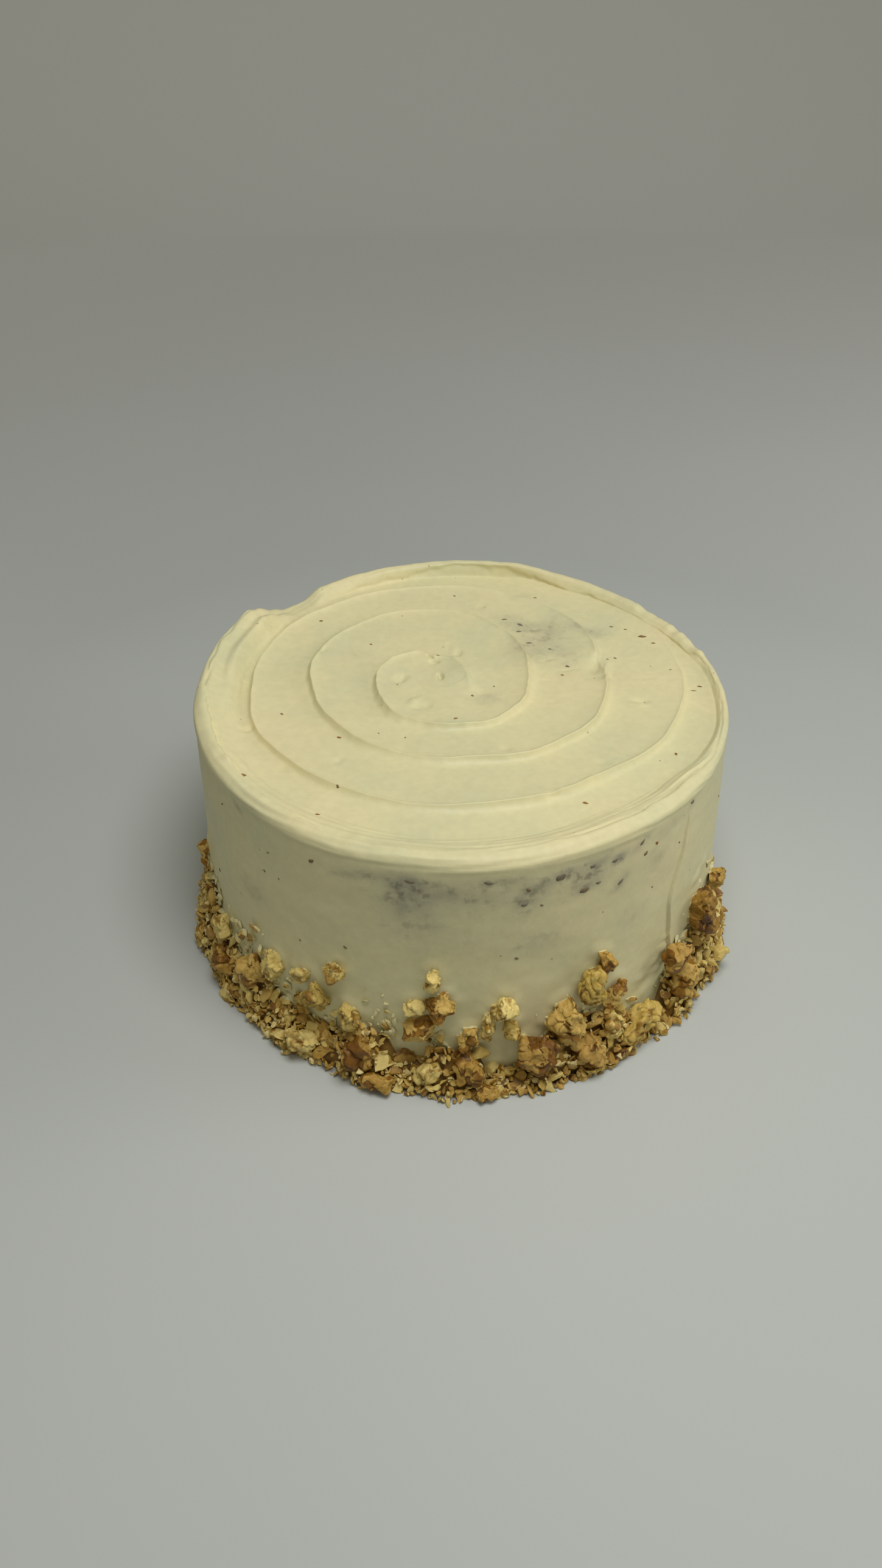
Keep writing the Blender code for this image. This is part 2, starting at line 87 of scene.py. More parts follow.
# How softly the lip's inner slope rolls up: 0 a thin raised edge, 1 a soft roll
LIP_SOFT = (
    (-180, 1.0), (-150, 1.0), (-100, 0.8), (-50, 0.6), (-25, 0.2), (0, 0.0), (75, 0.0),
    (105, 0.3), (125, 0.8), (180, 1.0),
)
# How much of the lip is a flat shelf behind an inner ridge, as at the back left
LIP_SHELF = ((-180, 0.5), (-166, 0.0), (122, 0.0), (138, 1.0), (166, 1.0), (180, 0.5))
# The crease inside the rim: its radius and its depth
CREASE = (
    (-180, 79.2), (-174.6, 78.0), (-165, 77.0), (-149, 77.2), (-141.7, 77.0), (-131, 77.2),
    (-107, 78.0), (-90, 77.6), (-78, 76.6), (-65, 77.2), (-48, 77.6), (-39, 78.3), (-26, 80.0),
    (-9.5, 79.7), (0, 79.6), (12, 79.8), (17.6, 77.9), (28, 76.6), (35, 76.5), (49, 77.0),
    (59, 76.4), (71, 78.4), (88, 79.0), (110, 77.0), (140, 74.0), (180, 79.2),
)
CREASE_DEPTH = (
    (-180, 0.5), (-172, 1.3), (-150, 1.5), (-138, 1.1), (-125, 0.5), (-100, 0.2), (-78, 0.25),
    (-60, 0.7), (-45, 0.7), (-30, 0.4), (0, 0.25), (20, 0.6), (62, 0.7), (85, 0.5), (115, 0.25),
    (135, 0.0), (165, 0.0), (180, 0.5),
)
HEAP_TOP = (
    (-180, 11.0), (-170, 22.0), (-164, 25.0), (-157, 21.0), (-146, 15.0), (-137, 21.0),
    (-128, 12.0), (-120, 10.5), (-112, 15.0), (-106, 17.0), (-101, 9.5), (-95, 13.0),
    (-88, 12.0), (-83, 7.0), (-78, 7.5), (-73, 15.0), (-67, 20.0), (-61, 17.0), (-55, 10.0),
    (-48, 8.5), (-42, 14.0), (-35, 24.0), (-26, 26.0), (-19, 18.0), (-10, 9.0), (4, 8.0),
    (16, 12.0), (30, 19.0), (44, 14.0), (56, 21.0), (70, 13.0), (84, 18.0), (98, 12.0),
    (112, 20.0), (126, 15.0), (140, 20.0), (152, 13.0), (166, 9.0), (180, 11.0),
)
HEAP_FOOT = (
    (-180, 4.6), (-165, 6.8), (-150, 6.8), (-120, 7.6), (-100, 8.6), (-86, 8.8), (-70, 8.6),
    (-50, 7.4), (-25, 7.4), (-8, 4.6), (10, 4.6), (30, 7.0), (60, 8.0), (100, 7.0), (140, 8.0),
    (160, 5.4), (180, 4.6),
)

# The scraper seam on the front right: height, angle, and how far its right side stands out
SEAM_LINE = ((-1, -43.5), (20, -43.2), (34, -43.8), (45, -44.7), (64, -41.2), (84, -38.5))
SEAM_PROUD = ((-1, 0.3), (18, 0.5), (30, 0.9), (55, 0.8), (70, 0.5), (78, 0.1), (84, 0.0))
SEAM_FADE = 16.0
SEAM_BASE = -43.0

# Marks in the spread top: x, y, half length, half width, turn, depth (negative stands proud)
TOP_DENTS = (
    (-19.1, 8.9, 2.5, 1.2, 68, 0.55), (-6.4, 10.1, 1.7, 0.9, 98, 0.5), (-12.0, -6.6, 2.6, 0.8, 0, 0.4),
    (-14.4, -3.6, 1.5, 1.1, -30, -0.4), (-8.4, 18.8, 1.5, 1.0, 10, 0.6), (-9.6, 21.6, 1.0, 0.6, -30, 0.5),
    (-4.3, 27.6, 1.1, 0.6, 5, 0.35), (-0.5, 24.1, 1.3, 0.7, -8, 0.4), (27.0, 7.8, 0.8, 0.6, 0, 0.3),
    (34.4, 13.4, 0.9, 0.7, 0, 0.3), (28.1, 19.2, 0.9, 0.6, 0, 0.3), (55.5, -4.8, 1.5, 1.1, -30, 0.45),
    (54.9, -6.9, 1.2, 0.8, 0, -0.25), (27.0, -4.5, 0.9, 0.6, 0, 0.3), (-64.0, -17.0, 1.6, 0.9, -20, 0.35),
    (6.2, 0.6, 1.5, 1.0, 10, 0.35), (-36.4, -34.0, 1.8, 0.8, 20, 0.25), (-52.0, -37.0, 1.5, 0.8, -40, 0.25),
    (12.5, -29.5, 1.8, 1.2, 30, 0.2), (40.0, -37.0, 2.0, 1.1, 10, 0.22), (24.5, -52.0, 2.0, 1.0, 15, 0.25),
    (44.3, 16.5, 6.5, 1.3, 76, 0.45), (46.9, 13.5, 5.5, 0.8, 78, -0.3), (46.2, 6.0, 1.6, 1.0, 60, -0.35),
    (59.0, 8.2, 1.2, 0.8, 0, 0.2), (-45.0, 25.0, 2.0, 0.9, 60, 0.22), (8.0, 55.0, 1.6, 0.8, 0, 0.25),
)
# Marks in the wall: angle, height, half length, half width, turn, depth
WALL_DENTS = (
    (-140.5, 76.7, 2.4, 1.0, -35, 0.5), (-45.2, 27.0, 1.6, 1.2, 0, -0.9), (-47.5, 24.0, 2.0, 1.2, 30, -0.7),
    (-50.0, 17.0, 3.0, 2.0, 20, 0.5), (-46.2, 20.0, 1.4, 1.0, 40, -0.8), (-52.0, 21.0, 2.4, 1.4, -20, -0.45),
    (-44.5, 30.5, 1.2, 0.8, 10, -0.6), (-84.0, 6.5, 3.0, 1.6, 5, -0.5), (-33.5, 43.5, 3.0, 1.4, 20, -0.6),
    (-29.0, 44.5, 2.0, 1.2, -10, -0.5), (-101.0, 14.5, 3.5, 2.0, 0, 0.35), (-118.0, 17.0, 3.2, 1.8, 0, -0.4),
)
# Places where the frosting is thin and the cake shows grey through it: on the top x, y, radii,
# turn, strength; on the wall angle, height, radii in mm, turn, strength
TOP_THIN = (
    (27.0, 31.0, 8.0, 14.0, -32, 0.42), (21.5, 41.0, 7.0, 3.6, -12, 0.40), (34.5, 20.5, 5.0, 7.5, -20, 0.22),
    (16.5, 47.0, 6.0, 2.0, -8, 0.25), (41.5, 38.0, 7.0, 2.4, -35, 0.2),
    (22.8, 60.6, 5.0, 2.2, 20, 0.22), (45.6, 36.3, 5.0, 4.0, 0, 0.22), (8.0, -3.0, 5.0, 3.2, 0, 0.25),
    (48.0, 8.0, 5.0, 6.0, 0, 0.14), (-34.0, 24.0, 4.0, 3.0, 0, 0.10),
)
WALL_THIN = (
    (-82.0, 70.0, 40.0, 7.0, 3, 0.22), (-92.0, 56.0, 26.0, 9.0, 0, 0.10),
    (-101.0, 69.0, 6.5, 6.6, 18, 0.70), (-101.5, 74.5, 7.5, 2.4, 0, 0.65), (-111.0, 73.5, 7.0, 1.8, 8, 0.5),
    (-91.5, 70.5, 8.0, 3.6, 0, 0.35), (-84.0, 75.0, 6.0, 1.4, 0, 0.6), (-78.8, 67.5, 3.0, 4.6, -28, 0.65),
    (-72.5, 73.8, 6.0, 2.0, 12, 0.7), (-65.7, 74.0, 5.5, 2.2, 16, 0.75), (-66.8, 69.5, 5.0, 3.6, 0, 0.5),
    (-60.6, 73.4, 3.2, 1.5, 20, 0.85), (-59.4, 64.7, 1.8, 3.4, -35, 0.75), (-67.5, 66.8, 2.4, 1.4, 20, 0.6),
    (-54.5, 75.4, 4.0, 1.5, 30, 0.55), (-47.0, 74.5, 4.5, 2.6, 20, 0.3), (-39.3, 77.0, 1.6, 2.2, -20, 0.75),
    (-137.5, 48.7, 7.0, 5.0, 0, 0.22), (-100.8, 58.3, 8.0, 4.0, 0, 0.25), (-76.0, 52.0, 10.0, 5.0, 0, 0.18),
    (-140.5, 76.7, 2.6, 1.3, -35, 0.45), (-50.0, 66.0, 4.0, 4.0, 0, 0.2), (-56.0, 50.0, 6.0, 4.0, 0, 0.15),
)
# Crumbs of cake and nut skin caught in the frosting: place, half length, half width, turn, tone
# (0 reddish brown, 1 charcoal)
TOP_CRUMBS = (
    (61.6, 33.7, 1.7, 0.8, 12, 0.45), (32.7, 10.4, 0.7, 0.5, 0, 0.2), (-36.8, -22.0, 0.9, 0.8, 30, 0.15),
    (-35.5, -47.4, 0.5, 0.45, 0, 0.6), (-17.0, -22.8, 0.55, 0.4, 0, 0.5), (-1.9, -14.3, 0.8, 0.5, 50, 0.2),
    (33.4, -54.3, 0.8, 0.45, 0, 0.1), (62.1, -32.2, 0.9, 0.7, -50, 0.2), (-40.4, -58.8, 0.9, 0.35, 0, 0.1),
    (75.3, 3.2, 0.9, 0.4, 0, 0.6), (73.0, 0.8, 1.5, 0.3, 0, 0.35), (-29.3, 30.2, 0.7, 0.4, -10, 0.25),
    (49.4, 67.0, 0.8, 0.5, 0, 0.4), (-62.2, -44.1, 1.0, 0.7, 20, 0.25), (21.2, 42.1, 1.3, 0.6, -25, 0.95),
    (23.6, 30.5, 1.7, 0.5, 0, 0.85), (20.5, 37.8, 1.4, 0.5, 15, 0.8), (30.0, 26.0, 0.9, 0.6, 0, 0.9),
    (34.8, 15.5, 0.9, 0.6, 0, 0.8), (38.5, 44.0, 1.0, 0.4, 0, 0.8), (16.0, 46.0, 1.2, 0.4, 10, 0.8),
    (3.6, -0.9, 0.5, 0.4, 0, 0.6), (10.5, 3.9, 0.4, 0.35, 0, 0.6), (-7.2, 22.6, 0.8, 0.35, -15, 0.3),
    (56.5, 38.5, 0.9, 0.4, 0, 0.6), (52.0, 40.5, 0.9, 0.5, 10, 0.7), (64.6, 29.2, 0.8, 0.35, 0, 0.4),
    (50.8, 20.5, 0.6, 0.4, 0, 0.8), (48.2, 19.5, 0.5, 0.35, 0, 0.8), (-20.0, 5.2, 0.4, 0.3, 0, 0.3),
    (-25.0, -21.0, 0.4, 0.3, 0, 0.5), (27.5, 61.0, 0.9, 0.4, 0, 0.6), (-1.0, 62.0, 0.7, 0.35, 0, 0.5),
    (-47.0, 45.0, 0.7, 0.4, 30, 0.5), (67.5, 12.5, 0.6, 0.3, 40, 0.8), (-55.0, -10.0, 0.5, 0.4, 0, 0.6),
)
WALL_CRUMBS = (
    (-120.4, 73.7, 1.0, 0.6, 60, 0.6), (-147.3, 72.2, 1.2, 0.4, 55, 0.7), (-131.8, 68.2, 0.7, 0.35, 40, 0.8),
    (-133.3, 60.3, 0.6, 0.4, 0, 0.5), (-129.3, 60.6, 0.5, 0.4, 0, 0.5), (-80.5, 46.7, 0.8, 0.5, 0, 0.7),
    (-114.0, 45.6, 0.6, 0.4, 0, 0.6), (-124.8, 40.8, 0.6, 0.4, 0, 0.6), (-154.6, 38.8, 0.8, 0.5, 0, 0.5),
    (-50.5, 72.2, 0.9, 0.8, 0, 0.2), (-67.5, 66.8, 1.5, 1.0, 40, 0.75), (-72.5, 73.6, 1.4, 1.1, 60, 0.85),
    (-65.9, 74.2, 1.1, 1.0, 60, 0.95), (-61.0, 73.4, 1.5, 0.9, 30, 0.9), (-59.4, 65.0, 1.8, 0.7, 55, 0.9),
    (-78.6, 71.2, 0.8, 0.7, 0, 0.7), (-79.4, 66.2, 1.4, 0.8, 20, 0.9), (-100.5, 74.6, 2.2, 0.8, 5, 0.9),
    (-86.0, 75.0, 1.6, 0.6, 0, 0.9), (-53.6, 71.0, 0.8, 0.5, 70, 0.7), (-54.6, 75.6, 1.4, 0.5, 50, 0.85),
    (-39.4, 77.2, 0.9, 0.8, 60, 0.85), (-64.5, 67.8, 0.9, 0.5, 20, 0.8), (-76.0, 65.0, 0.8, 0.5, 0, 0.7),
    (-43.0, 66.0, 0.5, 0.35, 0, 0.7), (-50.5, 56.0, 0.5, 0.4, 0, 0.6), (-20.0, 60.0, 0.6, 0.4, 0, 0.5),
    (10.0, 55.0, 0.8, 0.5, 0, 0.5), (48.0, 62.0, 0.9, 0.5, 0, 0.6), (85.0, 58.0, 0.7, 0.5, 0, 0.5),
    (120.0, 66.0, 1.0, 0.6, 0, 0.6), (160.0, 50.0, 0.8, 0.5, 0, 0.5), (-172.0, 60.0, 0.7, 0.5, 0, 0.6),
)


# ------------------------------------------------------------------------------------ measuring
def table(keys, x):
    """Smooth values at x, a number or an array, of a table of (x, value) pairs."""
    xs = np.array([k[0] for k in keys], dtype=float)
    values = np.array([k[1] for k in keys], dtype=float)
    x = np.asarray(x, dtype=float)
    i = np.clip(np.searchsorted(xs, x, side="left") - 1, 0, len(xs) - 2)
    t = np.clip((x - xs[i]) / (xs[i + 1] - xs[i]), 0.0, 1.0)
    return values[i] + (values[i + 1] - values[i]) * (0.35 * t + 0.65 * t * t * (3 - 2 * t))


def wrapped(angle):
    """The angle in degrees brought into -180 to 180."""
    return (np.asarray(angle, dtype=float) + 180.0) % 360.0 - 180.0


def noise_at(points, size, seed):
    """Smooth noise, about -1 to 1, at each point, for features of this size."""
    shift = Vector((seed * 7.31, seed * 3.17 + 1.3, seed * 5.71 - 2.9))
    return np.array([noise.noise(Vector(p) / size + shift) for p in np.asarray(points).tolist()])


def bell(x, middle, width):
    """A smooth bump of height 1 at the middle."""
    return np.exp(-(((x - middle) / width) ** 2))


def window(angle, start, end, fade):
    """1 between two angles, fading to 0 outside them over this many degrees."""
    middle, half = (start + end) / 2.0, (end - start) / 2.0
    away = np.abs(wrapped(angle - middle)) - half
    t = np.clip(1.0 - away / fade, 0.0, 1.0)
    return t * t * (3 - 2 * t)


def side_radius(angle, z):
    """Radius of the frosted wall."""
    radius = TOP_RADIUS + SIDE_FLARE * (RIM_HEIGHT - z)
    past = wrapped(angle - table(SEAM_LINE, z))
    proud = np.where((past >= 0.0) & (past < SEAM_FADE), 1.0 - past / SEAM_FADE, 0.0)
    return radius + table(SEAM_PROUD, z) * proud


def crest(travelled):
    """Radius of the terrace edge, a little unsteady as the spatula's path is."""
    wander = 0.26 * np.sin(travelled * 0.083 + 1.0) + 0.16 * np.sin(travelled * 0.21 + 2.0)
    steady = np.clip((travelled - 60.0) / 120.0, 0.0, 1.0)
    return table(CREST, travelled) + steady * (wander + 0.07 * np.sin(travelled * 0.63))


def step_height(travelled):
    """Height of the terrace edge, fading in at the middle and out at the rim."""
    fade_in = np.clip((travelled - 80.0) / 60.0, 0.0, 1.0)
    fade_out = np.clip((1110.0 - travelled) / 80.0, 0.0, 1.0)
    uneven = 1.0 + 0.16 * np.sin(travelled * 0.037 + 0.6) + 0.10 * np.sin(travelled * 0.12)
    torn = 1.0 - 0.5 * bell(travelled, 724.0, 7.0)
    return TERRACE_STEP * fade_in * fade_out * uneven * torn


def terrace(away, here, after, travelled):
    """Height above the spread floor between one terrace edge and the next."""
    part = np.clip((away - here) / (after - here), 0.0, 1.0)
    run = 2.1 + 0.7 * np.sin(travelled * 0.05 + 2.0)
    fall = np.clip((away - here) / run, 0.0, 1.0)
    height = step_height(travelled) * (1.0 - fall) ** 1.5
    bead = 0.16 * step_height(travelled) * bell(away, here, 0.5)
    bead += 0.16 * step_height(travelled + 360.0) * bell(away, after, 0.5)
    return height + bead + step_height(travelled + 360.0) * (0.75 * part**1.6 + 0.25 * part**9)


def dent(x, y, spot):
    """How deep a smooth oval mark is at x, y."""
    across, along = x - spot[0], y - spot[1]
    turn = math.radians(spot[4])
    u = (across * math.cos(turn) + along * math.sin(turn)) / spot[2]
    v = (along * math.cos(turn) - across * math.sin(turn)) / spot[3]
    return np.exp(-((u * u + v * v) ** 1.4))


def top_detail(x, y):
    """Knob, ridge, marks and slow waves in the spread top."""
    raised = np.exp(-((x - KNOB_PLACE[0]) ** 2 + (y - KNOB_PLACE[1]) ** 2) / KNOB_SPREAD)
    along = np.clip((21.0 - y) / 19.7, 0.0, 1.0)
    line = -2.3 + 5.6 * along + 1.1 * np.sin(along * math.pi)
    right = x - line
    strong = np.sin(np.clip((22.5 - y) / 22.5, 0.0, 1.0) * math.pi) ** 0.7
    wedge = np.where(right > 0.0, np.exp(-((right / 1.1) ** 2)), np.exp(right / 3.6))
    raised += 1.5 * strong * wedge * (y < 22.5) * (y > 0.0)
    for spot in TOP_DENTS:
        raised -= MARK_DEPTH * spot[5] * dent(x, y, spot)
    return raised


# ---------------------------------------------------------------------------------------- meshes
def make_object(name, points, faces, material, attributes=(), sharp=None):
    """A piece from points in millimetres, riding on the cake's one body."""
    mesh = bpy.data.meshes.new(name)
    mesh.from_pydata((np.asarray(points) * MM).tolist(), [], faces)
    mesh.validate()
    bm = bmesh.new()
    bm.from_mesh(mesh)
    bmesh.ops.recalc_face_normals(bm, faces=bm.faces)
    bm.to_mesh(mesh)
    bm.free()
    for key, values in attributes:
        layer = mesh.attributes.new(key, "FLOAT", "POINT")
        layer.data.foreach_set("value", np.asarray(values, dtype=np.float32))
    mesh.materials.append(material)
    mesh.shade_smooth()
    if sharp:
        mesh.set_sharp_from_angle(angle=math.radians(sharp))
    ob = bpy.data.objects.new(name, mesh)
    bpy.context.scene.collection.objects.link(ob)
    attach(ob, "root")
    return ob


def zip_strips(left, right, away, faces):
    """Triangles between two lines of points, both ordered outwards."""
    i = j = 0
    while i < len(left) - 1 or j < len(right) - 1:
        step_left = j == len(right) - 1
        if i < len(left) - 1 and j < len(right) - 1:
            step_left = away[left[i + 1]] < away[right[j + 1]]
        if step_left:
            faces.append((left[i], left[i + 1], right[j]))
            i += 1
        else:
            faces.append((left[i], right[j + 1], right[j]))
            j += 1


# Rows of the frosting's surface: distances after and before each terrace edge, rows between them,
# and rows over the lip's inner slope, its rounded edge and the wall
NEAR_CREST = (0.0, 0.2, 0.45, 0.8, 1.2, 1.7, 2.3, 3.1, 4.2)
BEFORE_CREST = (2.6, 1.6, 0.95, 0.5, 0.2)
BETWEEN = 8
TURN_ROWS = len(NEAR_CREST) + BETWEEN + len(BEFORE_CREST)
SLOPE_ROWS = 24
EDGE_ROWS = 12
WALL_ROWS = 64
COLUMNS = 470
INNERMOST = -9999  # key of the first of the rings round the spiral's middle
RING_KEYS = range(INNERMOST, INNERMOST + len(INNER_RINGS))
LEAST_TURN = 0.8  # a turn of the spiral narrower than this gets no rows
FULL_TURN = 10.5  # width of a turn that has its rows at full distances


def column_angles():
    """Even columns round the cake, with close ones either side of the scraper seam."""
    even = -180.0 + 360.0 * np.arange(COLUMNS) / COLUMNS
    close = SEAM_BASE + np.array([-0.6, -0.28, -0.06, 0.06, 0.28, 0.6])
    even = even[np.abs(even - SEAM_BASE) > 0.8]
    return np.sort(np.concatenate([even, close]))


def lip_rise(s, angle):
    """Share of the lip's height reached at s of the way across its inner slope."""
    soft, shelf = table(LIP_SOFT, angle), table(LIP_SHELF, angle)
    roll = s * s * (3 - 2 * s)
    thin = float(np.clip((s - 0.06) / 0.62, 0.0, 1.0))
    ridge = float(np.clip(s / 0.42, 0.0, 1.0))
    plateau = 0.86 * ridge * ridge * (3 - 2 * ridge) - 0.10 * math.exp(-(((s - 0.68) / 0.14) ** 2))
    plateau += 0.14 * float(np.clip((s - 0.6) / 0.4, 0.0, 1.0))
    plain_lip = (1.0 - soft) * thin * thin * (3 - 2 * thin) + soft * (0.55 * roll + 0.45 * s**1.6)
    return (1.0 - shelf) * plain_lip + shelf * plateau


def rim_profile(angle):
    """Radius, height and distance from the lip's foot of each row, from there to the cake's foot."""
    rough = window(angle, 14.0, 37.0, 5.0)
    spots = np.stack([angle, np.zeros_like(angle), np.zeros_like(angle)], axis=1)
    ragged = (0.22 + 0.75 * rough) * noise_at(spots, 3.4, 7)
    ragged += (0.12 + 0.45 * rough) * noise_at(spots, 1.5, 8)
    lip = RIM_HEIGHT + table(LIP, angle) + ragged
    width = table(LIP_WIDTH, angle)
    edge = table(EDGE_RADIUS, angle)
    out = TOP_RADIUS + SIDE_FLARE * (RIM_HEIGHT - lip)
    foot = out - edge - width
    radii, heights, across = [], [], []
    floor = TOP_LEVEL + FLOOR_LIFT
    for s in np.linspace(0.0, 1.0, SLOPE_ROWS):
        radii.append(foot + width * s)
        heights.append(floor + (lip - floor) * lip_rise(s, angle))
        across.append(width * s)
    for s in np.linspace(0.0, 1.0, EDGE_ROWS + 1)[1:]:
        bend = s * math.pi / 2
        wall = side_radius(angle, lip - edge)
        radii.append(out - edge + (wall - out + edge) * math.sin(bend))
        heights.append(lip - edge + edge * math.cos(bend))
        across.append(width + edge * bend)
    for s in np.linspace(0.0, 1.0, WALL_ROWS + 1)[1:]:
        z = (lip - edge) * (1.0 - s) + 6.0 * s
        radii.append(side_radius(angle, z))
        heights.append(z)
        across.append(width + edge * 1.57 + (lip - edge - z))
    for z in (3.0, 0.6):
        radii.append(side_radius(angle, z))
        heights.append(np.full_like(angle, z))
        across.append(np.full_like(angle, 90.0))
    radii.append(side_radius(angle, 0.0) - 0.6)
    heights.append(np.full_like(angle, 0.0))
    across.append(np.full_like(angle, 91.0))
    return np.array(radii), np.array(heights), np.array(across), foot


def smoothly(x):
    """0 to 1 with a gentle start and end."""
    t = np.clip(x, 0.0, 1.0)
    return t * t * (3 - 2 * t)


def rim_folds(angle, across, radii):
    """How far the rim stands out or sinks from its smooth shape: a crease and drawn-out streaks."""
    width = table(LIP_WIDTH, angle)[None, :]
    edge = table(EDGE_RADIUS, angle)[None, :]
    turned = np.broadcast_to(angle[None, :], across.shape)
    flat = np.zeros(across.size)
    spots = np.stack([across.ravel() / 1.25 + turned.ravel() * 0.06, turned.ravel() / 19.0, flat], axis=1)
    streaks = noise_at(spots, 1.0, 3).reshape(across.shape)
    spots = np.stack([across.ravel() / 0.55 + turned.ravel() * 0.08, turned.ravel() / 12.0, flat], axis=1)
    streaks = streaks + 0.4 * noise_at(spots, 1.0, 9).reshape(across.shape)
    on_rim = np.clip(across / 2.0, 0.0, 1.0) * np.clip((width + edge * 1.57 + 1.0 - across) / 4.0, 0.0, 1.0)
    front = window(turned, -150.0, -20.0, 14.0)
    fold = streaks * on_rim * (0.12 + 0.38 * front)
    spots = np.stack([angle, np.zeros_like(angle), np.zeros_like(angle)], axis=1)
    wander = 0.55 * noise_at(spots, 4.0, 17) + 0.30 * noise_at(spots, 1.6, 18)
    outside = radii - (table(CREASE, angle) + wander)[None, :]
    depth = table(CREASE_DEPTH, angle)[None, :]
    slope = (across < width + edge * 0.9) & (across > 0.4)
    fold -= slope * depth * 0.6 * bell(outside, 0.0, 0.42)
    top_edge = np.clip((width + edge * 1.57 - across) / 2.5, 0.0, 1.0)
    fold += depth * 0.75 * smoothly(outside / 0.55) * top_edge * (across < width + edge * 1.6)
    lump = bell(wrapped(turned + 150.0), 0.0, 1.6) * bell(outside, 0.6, 0.9)
    fold += 1.1 * lump * (across < width + edge)
    shell = window(turned, 146.0, 178.0, 5.0)
    line = width + 0.6 + 0.4 * np.sin(turned * 0.7)
    fold -= shell * 0.5 * bell(across, line, 0.6)
    return fold


def pressed_up(radii, heights, turned, nuts):
    """How far the frosting is pushed up round the larger pieces pressed into it."""
    raised = np.zeros(radii.shape)
    for row, column in np.argwhere((heights < 52.0) & (heights > 2.0)):
        r, z, a = radii[row, column], heights[row, column], math.radians(turned[row, column])
        found, _, _, distance = nuts.find_nearest(Vector((r * math.cos(a), r * math.sin(a), z)), 5.0)
        if found is not None:
            raised[row, column] = 0.85 * math.exp(-((distance / 1.9) ** 2))
    return raised


def top_rows(here, after):
    """Distances of the rows between one terrace edge and the next."""
    tight = min(1.0, (after - here) / FULL_TURN)
    rows = [here + d * tight for d in NEAR_CREST]
    last = after - BEFORE_CREST[0] * tight
    rows += [rows[-1] + (last - rows[-1]) * (j + 1) / (BETWEEN + 1) for j in range(BETWEEN)]
    return rows + [after - d * tight for d in BEFORE_CREST]


def build_top(bearing, length, way):
    """The spread top inside the lip: its points, their distance from the spiral's middle, and for
    each column a table from a row's key to its point.
    """
    points, away, keys = [], [], []
    for i in range(len(bearing)):
        for turn in range(FIRST_TURN, LAST_TURN + 1):
            travelled = bearing[i] + 360.0 * turn
            here, after = float(crest(travelled)), float(crest(travelled + 360.0))
            if after - here < LEAST_TURN:
                continue
            for m, r in enumerate(top_rows(here, after)):
                if INNER_RINGS[-1] + 0.3 < r < length[i] - 0.9:
                    keys.append((i, turn * TURN_ROWS + m))
                    away.append(r)
                    points.append((here, after, travelled, way[i, 0], way[i, 1]))
        here, after = float(crest(bearing[i] - 360.0)), float(crest(bearing[i]))
        for m, r in enumerate(INNER_RINGS):
            keys.append((i, INNERMOST + m))
            away.append(r)
            points.append((here, after, bearing[i] - 360.0, way[i, 0], way[i, 1]))
    info, away = np.array(points), np.array(away)
    x = SPIRAL_CENTRE[0] + info[:, 3] * away
    y = SPIRAL_CENTRE[1] + info[:, 4] * away
    z = TOP_LEVEL + terrace(away, info[:, 0], info[:, 1], info[:, 2]) + top_detail(x, y)
    flat = np.stack([x, y, np.zeros_like(x)], axis=1)
    swirl = np.stack([(away - info[:, 0]) / 1.5, info[:, 2] / 40.0, np.zeros_like(x)], axis=1)
    z += 0.16 * noise_at(flat, 13.0, 1) + 0.07 * noise_at(flat, 4.0, 2)
    z += 0.06 * noise_at(swirl, 1.0, 6)

    columns = [{} for _ in bearing]
    for index, (i, k) in enumerate(keys):
        columns[i][k] = index
    return np.stack([x, y, z], axis=1), away, columns


def build_rim(angle, across, radii, heights, nuts):
    """Folds, waves and marks on the lip and the wall. Gives the points, their angles round the
    cake, their heights and how far each counts as wall.
    """
    fold = rim_folds(angle, across, radii)
    lean_r = np.gradient(heights, axis=0)
    lean_z = -np.gradient(radii, axis=0)
    size = np.hypot(lean_r, lean_z) + 1e-9
    turned = np.broadcast_to(angle[None, :], radii.shape).copy()
    follow = table(SEAM_LINE, heights) - SEAM_BASE
    on_wall = np.clip((across - 12.0) / 6.0, 0.0, 1.0)
    turned += follow * on_wall * bell(wrapped(turned - SEAM_BASE), 0.0, 7.0)
    wall_rows = slice(SLOPE_ROWS + EDGE_ROWS, None)
    radii[wall_rows] = side_radius(turned[wall_rows], heights[wall_rows])
    waves = np.stack([radii.ravel() * np.cos(np.radians(turned.ravel())),
                      radii.ravel() * np.sin(np.radians(turned.ravel())),
                      heights.ravel() * 1.6], axis=1)
    swell = (0.34 * noise_at(waves, 24.0, 4) + 0.10 * noise_at(waves, 7.0, 5)).reshape(radii.shape)
    swell *= np.clip(across / 8.0, 0.0, 1.0) * np.clip(heights / 4.0, 0.0, 1.0)
    for spot in WALL_DENTS:
        arc = wrapped(turned - spot[0]) * math.pi / 180.0 * TOP_RADIUS
        swell -= spot[5] * dent(arc, heights, (0.0, spot[1]) + spot[2:]) * on_wall
    swell += pressed_up(radii, heights, turned, nuts)
    fold = fold + swell * np.clip((across - 4.0) / 8.0, 0.0, 1.0)
    radii = radii - fold * lean_r / size
    heights = heights - fold * lean_z / size
    heights = np.maximum(heights, 0.0)
    b = np.radians(turned)
    return np.stack([radii * np.cos(b), radii * np.sin(b), heights], axis=2), turned, heights, on_wall


